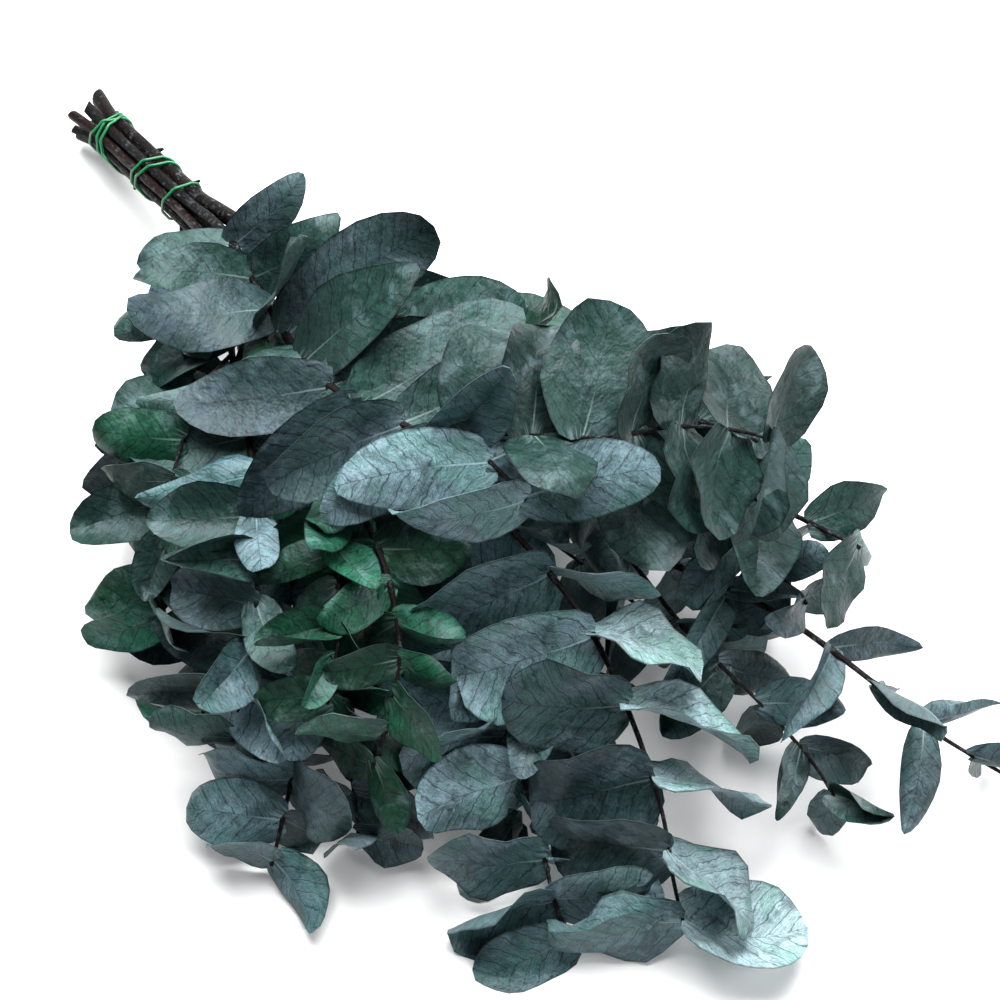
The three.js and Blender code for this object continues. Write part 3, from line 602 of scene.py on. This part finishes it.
SPUR_SIDES = 7
SPUR_LEAN = 0.6
SPUR_GRAIN = 1.5  # how far the grain of the bark runs between two rings of a spur
BUD_SCAR = (132, 78, 40)
SPURS = {  # by stem: distance from the cut end, angle round the bundle, length, and tone if not the bark's
    2: [(60, 12, 3.4), (96, 20, 4.6), (138, 30, 2.2, BUD_SCAR)],
    7: [(58, 205, 3.0), (104, 215, 4.2)],
}
BARK_TONES = [(13, 12, 13), (14, 12, 13), (16, 13, 13), (13, 12, 13), (14, 12, 12), (14, 13, 13),
              (30, 18, 17), (12, 11, 12), (11, 11, 11), (16, 13, 13), (13, 12, 13)]
TWIG_TONE = (34, 30, 32)
TONE_CHANGE = 1.8  # how soon the bark of a stem takes the tone of the twigs
SECTION_STEP = 40  # each stem's cut face shows another place of the same grain


def spur_rings(branch, distance, angle, length):
    """A short stub that a broken side shoot left on a bound stem: four rings from in the bark to its tip."""
    base = place_on(branch.line, distance)
    out = BIND_SIDE * math.cos(math.radians(angle)) + BIND_UP * math.sin(math.radians(angle))
    lean = unit(out + BIND_AXIS * SPUR_LEAN)
    first = across(BIND_AXIS, lean)
    radius = radius_at(branch, distance)
    stages = [(radius * 0.5, 1.9), (radius + 0.6, 1.4), (radius + length * 0.7, 0.95), (radius + length, 0.6)]
    return np.array([
        base + lean * reach + circle(wide, around(SPUR_SIDES), first, np.cross(lean, first))
        for reach, wide in stages
    ])


def add_tube(sticks, rings, kinds):
    """Adds a closed tube to a stem's sticks, with a kind for each face: 0 for bark and 1 for cut wood."""
    sticks.faces += tube_faces(*rings.shape[:2], len(sticks.points))
    sticks.points += rings.reshape(-1, 3).tolist()
    sticks.kinds += kinds


def add_branch(sticks, branch, index):
    rings, places = bark_tube(branch, index)
    count, sides = rings.shape[:2]
    walls = (count - 1) * sides
    cut = sides if branch.held else 0
    add_tube(sticks, rings, [1] * cut + [0] * (walls - cut) + [1 if cut else 0, 0])
    apart = SECTION_STEP * branch.number
    for i, distance in enumerate(places):
        radius = radius_at(branch, distance)
        reach = radius * (CUT_RING if cut and i == 0 else 1)
        free = max(0, distance - BOUND_LENGTH) / branch.line.total
        ripe = min(1, free * TONE_CHANGE) if branch.held else 1
        shade = [a + (b - a) * ripe for a, b in zip(linear(BARK_TONES[branch.number]), linear(TWIG_TONE))]
        for k, angle in enumerate(around(sides)):
            sticks.bark.append((abs(k / sides - 0.5) * 2 * math.pi * radius, distance))
            sticks.cut_mm.append((math.cos(angle) * reach + apart, math.sin(angle) * reach))
            sticks.tones.append((*shade, 1))


def add_spur(sticks, branch, distance, angle, length, scar=None):
    rings = spur_rings(branch, distance, angle, length)
    count = len(rings) * SPUR_SIDES
    add_tube(sticks, rings, [0] * (count - SPUR_SIDES + 2))
    sticks.bark += [(i % SPUR_SIDES, distance + i // SPUR_SIDES * SPUR_GRAIN) for i in range(count)]
    sticks.cut_mm += [(0, 0)] * count
    sticks.tones += [paint(*(scar or BARK_TONES[branch.number]))] * count


for number in range(len(STEMS)):
    sticks = Record(points=[], faces=[], kinds=[], bark=[], cut_mm=[], tones=[])
    for index, branch in enumerate(branches):
        if branch.number == number:
            add_branch(sticks, branch, index)
            for spur in SPURS.get(number, []) if branch.held else []:
                add_spur(sticks, branch, *spur)
    name = f"leafy_stem_{number + 1:02d}"
    wood = new_piece(f"{name}_bark", sticks.points, sticks.faces, [bark, cut_wood])
    wood.data.polygons.foreach_set("material_index", sticks.kinds)
    set_uv(wood.data, "bark", sticks.bark)
    set_uv(wood.data, "cut_mm", sticks.cut_mm)
    set_tone(wood.data, "bark_tone", sticks.tones)
    smoothed(wood, 50)
    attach(wood, "root")
    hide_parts(name)

# The tie: one thin elastic cord, spun from green strands. It is wound tight round the bare stems in three
# places, carried on from one to the next, and its two ends are tucked in under the bundle.
CORD_RADIUS = 0.78
CORD_BITE = 0.15  # how far the cord presses into the bark
CORD_GIRTH = 5
CORD_SIDES = 8
CORD_STEPS = 5  # steps between two stops round the bundle
CORD_END = 0.6  # the radius at its ends, as a share
THICK_STEM = 3  # a stem of a greater radius than this gives the cord one more stop
WINDING = [  # turns round the bundle, counted from the thickest stem over the top, and the place along it
    (0.6, -124), (0.95, -125), (1.45, -116), (1.95, -114), (2.45, -127), (2.95, -121), (3.45, -112),
    (3.95, -66), (4.15, -78), (4.45, -84), (4.95, -63), (5.15, -71), (5.45, -81), (5.95, -44), (6.45, -52),
    (6.7, -50),
]


def towards(angle):
    return np.array([math.cos(angle), math.sin(angle)])


def cord_stops():
    """Where the tight cord comes onto each outer stem and leaves it."""
    ring = sorted((stem for stem in STEMS if stem["ring"] == OUTER_RING), key=lambda stem: stem["angle"])
    seats = [OUTER_RING * towards(math.radians(stem["angle"])) for stem in ring]
    radii = [stem["radius"] for stem in ring]
    count = len(ring)

    def facing(a, b):
        gap = seats[b] - seats[a]
        return math.atan2(gap[1], gap[0]) - math.acos((radii[a] - radii[b]) / math.hypot(*gap))

    stops = []
    for k in range(count):
        on, off = facing((k - 1) % count, k), facing(k, (k + 1) % count)
        off = on + (off - on) % (2 * math.pi)
        angles = [on, (on + off) / 2, off] if radii[k] > THICK_STEM else [on, off]
        stops += [Record(seat=seats[k], radius=radii[k], angle=angle, stem=k) for angle in angles]
    return stops


def cord_route():
    """The cord's route on the bark, round each outer stem and straight to the next: for each step the point
    in the section of the bundle, the way out of it and the place along it, and then the steps in one turn."""
    stops = cord_stops()
    turns, alongs = zip(*WINDING)
    first, last = math.ceil(turns[0] * len(stops)), math.floor(turns[-1] * len(stops))
    total = (last - first) * CORD_STEPS
    flat, facings, places = [], [], []
    for i in range(total + 1):
        stop, w = first + i // CORD_STEPS, i % CORD_STEPS / CORD_STEPS
        a, b = stops[stop % len(stops)], stops[(stop + 1) % len(stops)]
        if a.stem == b.stem:
            out = towards(a.angle + (b.angle - a.angle) * w)
            point = a.seat + out * a.radius
        else:
            out_a, out_b = towards(a.angle), towards(b.angle)
            out = unit(out_a * (1 - w) + out_b * w)
            point = (a.seat + out_a * a.radius) * (1 - w) + (b.seat + out_b * b.radius) * w
        flat.append(point)
        facings.append(out)
        places.append(float(np.interp((first + i / CORD_STEPS) / len(stops), turns, alongs)))
    reach = 2 * CORD_STEPS
    padded = np.concatenate([[places[0]] * reach, places, [places[-1]] * reach])
    places = [float(padded[i:i + 2 * reach + 1].mean()) for i in range(total + 1)]
    return flat, facings, places, len(stops) * CORD_STEPS


def cord_line():
    """Points along the middle of the cord, which climbs over its own earlier turns that are in its way."""
    flat, facings, places, round_once = cord_route()
    lifts = []
    for i, place in enumerate(places):
        lift = 0.0
        for j in range(i - round_once, -1, -round_once):
            apart = abs(place - places[j])
            if apart < 2 * CORD_RADIUS:
                lift = max(lift, lifts[j] + math.sqrt((2 * CORD_RADIUS) ** 2 - apart ** 2))
        lifts.append(lift)
    line = []
    for i, place in enumerate(places):
        near = lifts[max(0, i - CORD_STEPS):i + CORD_STEPS + 1]
        out = CORD_RADIUS - CORD_BITE + 0.5 * (sum(near) / len(near) + lifts[i])
        spot = flat[i] + facings[i] * out
        line.append(bind_point(place, spot[0], spot[1]))
    return np.array(line)


elastic, tree, shader = new_material("green_elastic")
cord_mm = layer_of("cord")
strands = noise(stretched(cord_mm, 3.0, 0.5), 1.4, 4.0, 0.6)
wear = noise(cord_mm, 0.12, 3.0)
green = blend(strands, paint(8, 92, 50), paint(26, 140, 84))
plugged(shader, {
    "Base Color": blend(ranged(wear, 0.55, 0.7, 0.0, 0.6), green, paint(6, 88, 76)), "Roughness": 0.34,
    "Coat Weight": 0.2, "Normal": raised(strands, 0.5, 0.0003),
})

line = cord_line()
side = BIND_AXIS
rings, uvs = [], []
for i, (centre, length) in enumerate(zip(line, travelled(line))):
    heading = unit(line[min(len(line) - 1, i + 1)] - line[max(0, i - 1)])
    side = across(side, heading)
    radius = CORD_RADIUS * (CORD_END if i in (0, len(line) - 1) else 1)
    rings += (centre + circle(radius, around(CORD_SIDES), side, np.cross(heading, side))).tolist()
    uvs += [(abs(k / CORD_SIDES - 0.5) * CORD_GIRTH, length) for k in range(CORD_SIDES)]
tie = new_piece("green_tie", rings, tube_faces(len(line), CORD_SIDES, 0), [elastic])
set_uv(tie.data, "cord", uvs)
smoothed(tie, 60)
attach(tie, "root")
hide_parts("tie_cord")

# The leaves: leathery dried blades that grow in opposite pairs, glycerine-soft and dyed blue-green. One flat
# blade is drawn as a pattern, and each leaf is a copy, widened, bent, twisted and folded to lie in its solid.
BLADE = 0.8  # thickness of the solid leaf
THIN = 0.5  # thickness of the finished leaf
LONG_LEAF = 70  # a longer leaf has three rows of corners instead of two
LONG_ROWS = [0.2, 0.5, 0.83]
SHORT_ROWS = [0.27, 0.74]
CORNER = 1.05  # the corners of a faceted blade stand this far out of its round outline
SAME_PLACE = 2e-5  # metres
TABLE_PRESS = 14  # how far a leaf may be pressed up by the table
MOST_AT = 0.3  # where along a branch its leaves are longest
TRIES = 18
PAIR_STEP = 0.6  # the two leaves of a pair sit this far before and behind its place
PATTERN_ROWS = 10
PATTERN_COLUMNS = 4

# Every leaf leans towards its branch's tip, sinks a little and bends down towards its own tip. From that it
# strays by a draw, in degrees or in shares. A leaf in the way of others swings on with each further try.
LEAN = 0.45
SINK = 0.1
BEND = 21
LEAST_BEND = 0.02  # radians
STRAY = Record(roll=9, spread=9, tilt=16, bend=24, twist=24, sink=0.12, length=0.1, width=0.1)
SWING = Record(roll=13, back=-0.8, open=4, close=2, tilt=5, bend=8, rise=0.03, shrink=0.018)
TURN_BACK = 8  # tries after which a leaf swings the other way

cleared()
bpy.ops.mesh.primitive_grid_add(x_subdivisions=PATTERN_COLUMNS, y_subdivisions=PATTERN_ROWS, size=2)
pattern = bpy.context.object
bpy.ops.object.mode_set(mode="EDIT")
for end in (-1, 1):
    bpy.ops.mesh.select_all(action="DESELECT")
    bpy.ops.object.mode_set(mode="OBJECT")
    for v in pattern.data.vertices:
        v.select = abs(v.co.y - end) < 1e-4
    bpy.ops.object.mode_set(mode="EDIT")
    bpy.ops.mesh.merge(type="CENTER")
bpy.ops.object.mode_set(mode="OBJECT")
shell = pattern.modifiers.new("thickness", "SOLIDIFY")
shell.thickness = 2
shell.offset = 0
bpy.ops.object.modifier_apply(modifier=shell.name)
flat = np.array([v.co for v in pattern.data.vertices])
pattern_faces = [tuple(p.vertices) for p in pattern.data.polygons]
pattern_s = flat[:, 0]  # from the left edge, at -1, to the right edge, at 1
pattern_t = (1 - np.cos((flat[:, 1] + 1) / 2 * math.pi)) / 2  # from the foot, at 0, to the tip, at 1
pattern_side = np.sign(flat[:, 2])
bpy.data.objects.remove(pattern)


def outline(form, t):
    """Half the width of a leaf at a share of its length, in shares of its widest half."""
    power = math.log(0.5) / math.log(form[1])
    return np.abs(np.sin(math.pi * np.asarray(t) ** power)) ** form[2]


def leaf_frame(leaf, t):
    """A leaf's rib at shares of its length, the way to its right edge, its upward normal, half its width."""
    t = np.atleast_1d(np.asarray(t, float))[:, None]
    turned = leaf.bend * t
    rib = (leaf.root + leaf.heading * (leaf.length * np.sin(turned) / leaf.bend)
           - leaf.normal * (leaf.length * (1 - np.cos(turned)) / leaf.bend))
    bent = leaf.normal * np.cos(turned) + leaf.heading * np.sin(turned)
    wrung = leaf.twist * t
    side = leaf.side * np.cos(wrung) + bent * np.sin(wrung)
    normal = bent * np.cos(wrung) - leaf.side * np.sin(wrung)
    return rib, side, normal, outline(leaf.form, t) * leaf.length * leaf.width / 2


def pressed_up(points, normals, thickness):
    """The points of a blade, lifted where its underside would go into the table."""
    low = points[:, 2] - np.abs(normals[:, 2]) * thickness / 2
    lifted = points.copy()
    lifted[:, 2] += np.maximum(0, -low)
    return lifted


def length_at(lengths, share):
    first, most, last = lengths
    if share < MOST_AT:
        return first + (most - first) * share / MOST_AT
    return most + (last - most) * (share - MOST_AT) / (1 - MOST_AT)


def posed_leaf(foliage, site, turn, attempt):
    """One leaf in the pose that a try gives it."""
    draws, heading, face = site.draws, site.heading, site.face
    swing = (1 if attempt % 2 else -1) * math.ceil(attempt / 2)
    sign = -1 if turn else 1
    side = np.cross(heading, face)
    turned = SWING.roll * swing * (SWING.back if attempt > TURN_BACK else 1)
    roll = math.radians(site.roll + STRAY.roll * foliage.stray * draws[0] + turned)
    opened = SWING.open * (attempt % 5) - SWING.close * attempt
    spread = math.radians(foliage.spread + sign * foliage.skew + STRAY.spread * draws[1] + opened)
    out = side * math.cos(roll) + face * math.sin(roll)
    sink = SINK + STRAY.sink * draws[2] - SWING.rise * attempt
    way = unit(heading * math.cos(spread) + out * (sign * math.sin(spread)) + np.array([0, 0, -sink]))
    tipped = foliage.edgewise if turn else 0
    tilt = math.radians(STRAY.tilt * foliage.stray * draws[3] + SWING.tilt * swing + tipped)
    straight = across(face + heading * LEAN, way)
    normal = straight * math.cos(tilt) + np.cross(straight, way) * math.sin(tilt)
    bend = math.radians(BEND + STRAY.bend * draws[4] + SWING.bend * (attempt % 3))
    length = length_at(foliage.lengths, site.share) * (1 + STRAY.length * draws[5])
    return Record(
        form=foliage.form, root=site.place, heading=way, normal=normal, side=np.cross(normal, way),
        length=length * (1 - SWING.shrink * attempt), width=foliage.form[0] * (1 + STRAY.width * draws[6]),
        bend=LEAST_BEND if abs(bend) < LEAST_BEND else bend, twist=math.radians(STRAY.twist * draws[7]),
    )


def corners_of(node):
    """The corners of a solid, to look up by place."""
    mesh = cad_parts[node].data
    found = kdtree.KDTree(len(mesh.vertices))
    for i, v in enumerate(mesh.vertices):
        found.insert(v.co, i)
    found.balance()
    return found


def lies_in(corners, leaf):
    """Whether the solid has its corners where this leaf has its tip and its edges."""
    rows = LONG_ROWS if leaf.length > LONG_LEAF else SHORT_ROWS
    t = [1.0] + [row for row in rows for _ in range(2)]
    s = [0.0] + [-CORNER, CORNER] * len(rows)
    rib, side, normals, half = leaf_frame(leaf, t)
    points = rib + side * half * np.array(s)[:, None]
    pressed = pressed_up(points, normals, BLADE)
    if (pressed[:, 2] - points[:, 2] > TABLE_PRESS).any():
        return False
    found = 0
    for point, normal in zip(pressed, normals):
        for face in (BLADE / 2, -BLADE / 2):
            gap = corners.find((point + normal * face) * MM)[2]
            found += gap < SAME_PLACE
    return found >= len(points)


placed = []
for index, branch in enumerate(branches):
    draw = drawer(index + 1)
    foliage, line, pairs = branch.foliage, branch.line, branch.pairs
    corners = corners_of(f"leafy_stem_{branch.number + 1:02d}")
    for pair, distance in enumerate(pairs):
        heading = heading_on(line, distance)
        for turn in (0, 1):
            seat = distance + (-PAIR_STEP if turn else PAIR_STEP)
            site = Record(
                place=seat_on(branch, seat), heading=heading, face=across(foliage.face, heading),
                draws=[draw() for _ in range(8)], share=pair / max(1, len(pairs) - 1),
                roll=(1 if pair % 2 else -1) * foliage.turn,
            )
            tries = (posed_leaf(foliage, site, turn, attempt) for attempt in range(TRIES))
            leaf = next((leaf for leaf in tries if lies_in(corners, leaf)), None)
            if leaf:
                placed.append(Record(
                    leaf=leaf, branch=branch, turn=turn, share=site.share, stem=radius_at(branch, distance),
                    offset=place_on(line, seat) - site.place,
                ))

# How a finished leaf departs from its flat solid. Its edges first, in shares of its half width.
BLUNT_FOOT = 0.5
EDGE_WAVES = 5  # how quickly both edges wander together
EDGE_WAVE = 0.05
LONE_WAVES = 9  # how quickly each wanders on its own
LONE_WAVE = 0.035
ROLL = 0.5  # radians
TIGHT_FROM = 0.42  # a leaf that rolls more than this rolls up tight
TIGHT_ROLL = 3.2
ROLL_SKEW = 0.5
FOLD = 9  # degrees, along the rib
FOLD_STRAY = 17
WAVES = 1.2  # how many run up an edge
WAVES_STRAY = 0.6
WAVE_HEIGHT = 0.15
WAVE_STRAY = 0.08
CRIMP = 0.05

# Then its tip, its bow and its foot, in shares of its length.
TIP_FROM = 0.62
TIP_CURL = 1.1
TIP_TWIST = 0.25
BOW = 0.045
FOOT = 0.13
FOOT_BACK = 0.05
FOOT_GRIP = 2.5  # millimetres
FOOT_RISE = 0.5  # millimetres over the bark
PAIR_RISE = 0.9  # the foot of the second leaf of a pair lies this much higher


def full_outline(leaf, t, s):
    """Half the width of the finished leaf, in millimetres. It is broader and rounder at its foot than the
    solid's, its tip is blunt to a degree of its own, and its two edges wander a little."""
    _, widest, blunt = leaf.form
    tip = np.clip(2 * t, 0, 1)
    tip = tip * tip * (3 - 2 * tip)
    power = math.log(0.5) / math.log(widest)
    width = np.sin(math.pi * t ** power) ** (blunt * (BLUNT_FOOT + (leaf.point - BLUNT_FOOT) * tip))
    uneven = 1 + EDGE_WAVE * np.sin(EDGE_WAVES * t + leaf.ripple)
    uneven += LONE_WAVE * np.sign(s) * np.sin(LONE_WAVES * t + 2 * leaf.ripple)
    return width * uneven * leaf.length * leaf.width / 2


def kept_inside(points):
    """A leaf that would reach past the box of the solids, pushed back into it, less near its foot."""
    give = np.minimum(1, 2 * pattern_t)[:, None]
    low, high = (np.array(corner) / MM for corner in cad_box)
    past = np.maximum(0, points.max(axis=0) - high + THIN) - np.maximum(0, low + THIN - points.min(axis=0))
    past[2] = 0
    return points - give * past


def finished_blade(leaf, draw, turn, offset, stem):
    """The points of a finished leaf: the pattern laid on its surface, folded along the rib or rolled at its
    edges, waved, crimped and curled at the tip, and with the two lobes of its foot clasped over the twig."""
    t, s, wide = pattern_t, pattern_s, np.abs(pattern_s)
    rib, side, normals, _ = leaf_frame(leaf, t)
    half = full_outline(leaf, t, s)
    roll = ROLL * draw()
    if abs(roll) > TIGHT_FROM:
        roll *= TIGHT_ROLL
    roll += math.copysign(leaf.curl, roll)
    fold = math.tan(math.radians(FOLD + FOLD_STRAY * draw()))
    waves, phase, shift, bow = WAVES + WAVES_STRAY * draw(), 3 * draw(), 1.5 * draw(), draw()
    rolled = roll * (1 + ROLL_SKEW * draw() * s) * (0.4 + 0.9 * t) * wide + 1e-6
    lift = half * wide * (1 - np.cos(rolled)) / rolled
    lift += (wide - 0.5) * half * fold * np.minimum(1, 6 * t * (1 - t))
    wave = np.sin(2 * math.pi * waves * t + shift * np.sign(s) + phase) * s ** 2
    lift += (WAVE_HEIGHT + WAVE_STRAY * draw()) * half * wave
    lift += CRIMP * half * np.sin(11 * t + 2 * phase) * np.cos(3.4 * s + phase)
    tip = np.maximum(0, t - TIP_FROM)
    lift += (TIP_CURL * draw() * tip ** 2 + TIP_TWIST * draw() * tip * s) * leaf.length
    foot = np.exp(-(t / FOOT) ** 2) * np.minimum(1, 1.7 * wide) * (1 - 0.4 * s ** 2)
    lift += foot * (stem + FOOT_RISE + PAIR_RISE * turn)
    points = rib + side * (s * half * np.sin(rolled) / rolled)[:, None] + normals * lift[:, None]
    points -= np.outer(foot * (FOOT_BACK * leaf.length + FOOT_GRIP), leaf.heading)
    points += np.outer((1 - t) ** 4, offset)
    points += side * (BOW * leaf.length * bow * np.sin(math.pi * t))[:, None]
    points = pressed_up(kept_inside(points), normals, THIN)
    return points + normals * (pattern_side * THIN / 2)[:, None]


def split(vector):
    return wired("SeparateXYZ", {0: vector}).outputs


def spot_in(x, y):
    return wired("CombineXYZ", {0: x, 1: y}).outputs[0]


def eased(value, low, high, at_low=0.0, at_high=1.0):
    return ranged(value, low, high, at_low, at_high, "SMOOTHSTEP")


def mottle(place, scale, detail, roughness=0.5, distortion=0.0):
    return noise(place, scale, detail, roughness, distortion, "2D")


def line_of(value, half_width):
    """Thin lines where a value passes through its middle."""
    return eased(worked("ABSOLUTE", worked("SUBTRACT", value, 0.5)), 0.0, half_width, 1.0, 0.0)


leaf_skin, tree, shader = new_material("dried_leaf")
x_share, y_share, _ = split(layer_of("blade"))
x, y, _ = split(layer_of("blade_mm"))
own = wired("Attribute", {}, attribute_name="leaf_number").outputs["Fac"]
toning = wired("Attribute", {}, attribute_name="leaf_tone").outputs
tint, upper = toning["Color"], toning["Alpha"]

# What the patterns of the skin follow: the blade itself, the way up the side veins, and that round the foot.
on_blade = spot_in(plus(x, times(own, 7000.0)), y)
broad = mottle(on_blade, 0.055, 3.0, 0.62, 0.5)
patchy = mottle(on_blade, 0.12, 4.0, 0.66)
grain = mottle(on_blade, 1.1, 2.0, 0.7)
off_rib = worked("ABSOLUTE", x)
climb = worked("DIVIDE", worked("SUBTRACT", y, times(off_rib, 0.8)), 8.5)
climb = plus(climb, times(worked("SIGN", x), 0.22))
climb = plus(climb, plus(times(broad, 1.2), times(patchy, 0.3)))
up_blade = plus(y, 4.0)
from_foot = worked("SQRT", plus(times(x, x), times(up_blade, up_blade)))
bearing = worked("ARCTAN2", x, up_blade)

# The veins: strong side veins, fine ones between them, a net over all, the rib, and a pale star at the foot.
side_veins = line_of(worked("FRACT", climb), 0.075)
along_veins = spot_in(plus(times(climb, 6.0), times(own, 900.0)), times(off_rib, 0.09))
fine_veins = line_of(mottle(along_veins, 1.0, 2.0, 0.6), 0.08)
jitter = spot_in(times(patchy, 14.0), times(grain, 1.6))
shaken = wired("VectorMath", {0: on_blade, 1: jitter}).outputs[0]
cells = wired("TexVoronoi", {"Vector": shaken, "Scale": 0.42}, feature="DISTANCE_TO_EDGE",
              voronoi_dimensions="2D").outputs["Distance"]
net = times(eased(cells, 0.0, 0.12, 1.0, 0.0), eased(patchy, 0.4, 0.6, 0.3, 1.0))
rib_half = eased(y_share, 0.0, 0.8, 0.5, 0.2)
rib = eased(worked("DIVIDE", off_rib, rib_half), 0.5, 1.3, 1.0, 0.0)
star = line_of(mottle(spot_in(times(bearing, 4.0), times(own, 300.0)), 1.0, 1.0), 0.09)

# The dyed skin: waxy bloom with a painted satin sheen, dark and green patches and blots, then the veins, the
# dark rim and a paler underside.
body = scaled(tint, eased(patchy, 0.32, 0.68, 0.72, 1.3))
# Broad pale patches: partly the leaves' own waxy bloom, partly a painted satin sheen highlight.
bloom_and_sheen = blend(0.4, scaled(tint, 1.4), paint(146, 172, 180))
body = blend(times(eased(broad, 0.52, 0.7), 0.42), body, bloom_and_sheen)
body = blend(times(eased(broad, 0.34, 0.48, 1.0, 0.0), 0.42), body, paint(36, 56, 49))
greener = wired("VectorMath", {0: tint, 1: (0.56, 0.88, 0.68)}, operation="MULTIPLY").outputs[0]
body = blend(times(eased(mottle(on_blade, 0.035, 1.0), 0.45, 0.62), 0.5), body, greener)
body = scaled(body, eased(grain, 0.3, 0.7, 0.86, 1.14))
blots = eased(mottle(on_blade, 0.32, 3.0, 0.7), 0.56, 0.68, 0.0, 0.55)
body = blend(blots, body, scaled(body, 0.45))
dark_line = scaled(body, 0.16)
body = blend(times(net, 0.17), body, dark_line)
body = blend(times(fine_veins, 0.5), body, dark_line)
body = blend(times(side_veins, 0.85), body, dark_line)
body = blend(eased(worked("ABSOLUTE", x_share), 0.93, 0.99), body, scaled(body, 0.42))
body = blend(times(rib, eased(y_share, 0.15, 0.5, 0.0, 0.6)), body, dark_line)
pale_rib = blend(0.4, scaled(tint, 2.4), paint(164, 178, 178))
body = blend(times(rib, eased(y_share, 0.05, 0.5, 0.6, 0.0)), body, pale_rib)
body = blend(times(star, eased(from_foot, 5.0, 14.0, 0.7, 0.0)), body, pale_rib)
body = blend(times(worked("SUBTRACT", 1.0, upper), 0.16), body, paint(138, 156, 160))
crinkle = plus(mottle(on_blade, 0.17, 2.0, 0.55), times(mottle(on_blade, 0.6, 1.0), 0.1))
plugged(shader, {
    "Base Color": body, "Roughness": eased(patchy, 0.3, 0.7, 0.38, 0.54), "Specular IOR Level": 0.34,
    "Specular Tint": (0.78, 0.93, 1.0, 1), "Normal": raised(crinkle, 0.5, 0.0014),
})

LEAF_SEED = 900
SEEDS_A_STEM = 40
TIP_POINT = 0.66
TIP_POINT_STRAY = 0.14
TONE_STRAY = 0.24
GOLDEN = 0.618  # steps by this share give neighbours very different numbers


def toned(choice, draw):
    """One of the tones, a little lighter or darker."""
    picked = np.array(linear(choice[int((draw() + 1) / 2 * len(choice)) % len(choice)]))
    return picked * (1 + TONE_STRAY * draw())


def add_leaf(crown, spot, number, count):
    """Adds a finished leaf to the crown of a stem, by the stem's number and the leaf's own."""
    draw = drawer(LEAF_SEED + SEEDS_A_STEM * number + count)
    foliage = spot.branch.foliage
    point, ripple = TIP_POINT + TIP_POINT_STRAY * draw(), 3 * draw()
    leaf = Record(**vars(spot.leaf), point=point, ripple=ripple, curl=foliage.curl)
    first = len(crown.points)
    crown.points += finished_blade(leaf, draw, spot.turn, spot.offset, spot.stem).tolist()
    crown.faces += [tuple(first + i for i in face) for face in pattern_faces]
    half = full_outline(leaf, pattern_t, pattern_s)
    crown.mm += np.stack([pattern_s * half, pattern_t * leaf.length], 1).tolist()
    crown.shares += np.stack([pattern_s, pattern_t], 1).tolist()
    # The second leaf of a pair that is tipped on its edge takes the silver tones, whose extra paleness is
    # painted light.
    choice = SILVER_SHEEN if spot.turn and foliage.edgewise else foliage.tones
    tone = toned(PALE if spot.share > foliage.paler else choice, draw)
    crown.tones += np.column_stack([np.tile(tone, (len(pattern_t), 1)), pattern_side > 0]).tolist()
    crown.numbers += [(count * GOLDEN + number * 0.37) % 1] * len(pattern_t)


for number in range(len(STEMS)):
    crown = Record(points=[], faces=[], mm=[], shares=[], tones=[], numbers=[])
    for count, spot in enumerate(p for p in placed if p.branch.number == number):
        add_leaf(crown, spot, number, count)
    name = f"leafy_stem_{number + 1:02d}"
    blades = new_piece(f"{name}_leaves", crown.points, crown.faces, [leaf_skin])
    set_uv(blades.data, "blade_mm", crown.mm)
    set_uv(blades.data, "blade", crown.shares)
    set_tone(blades.data, "leaf_tone", crown.tones)
    layer = blades.data.attributes.new(name="leaf_number", type="FLOAT", domain="POINT")
    layer.data.foreach_set("value", crown.numbers)
    smoothed(blades, 50)
    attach(blades, "root")
    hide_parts(name)
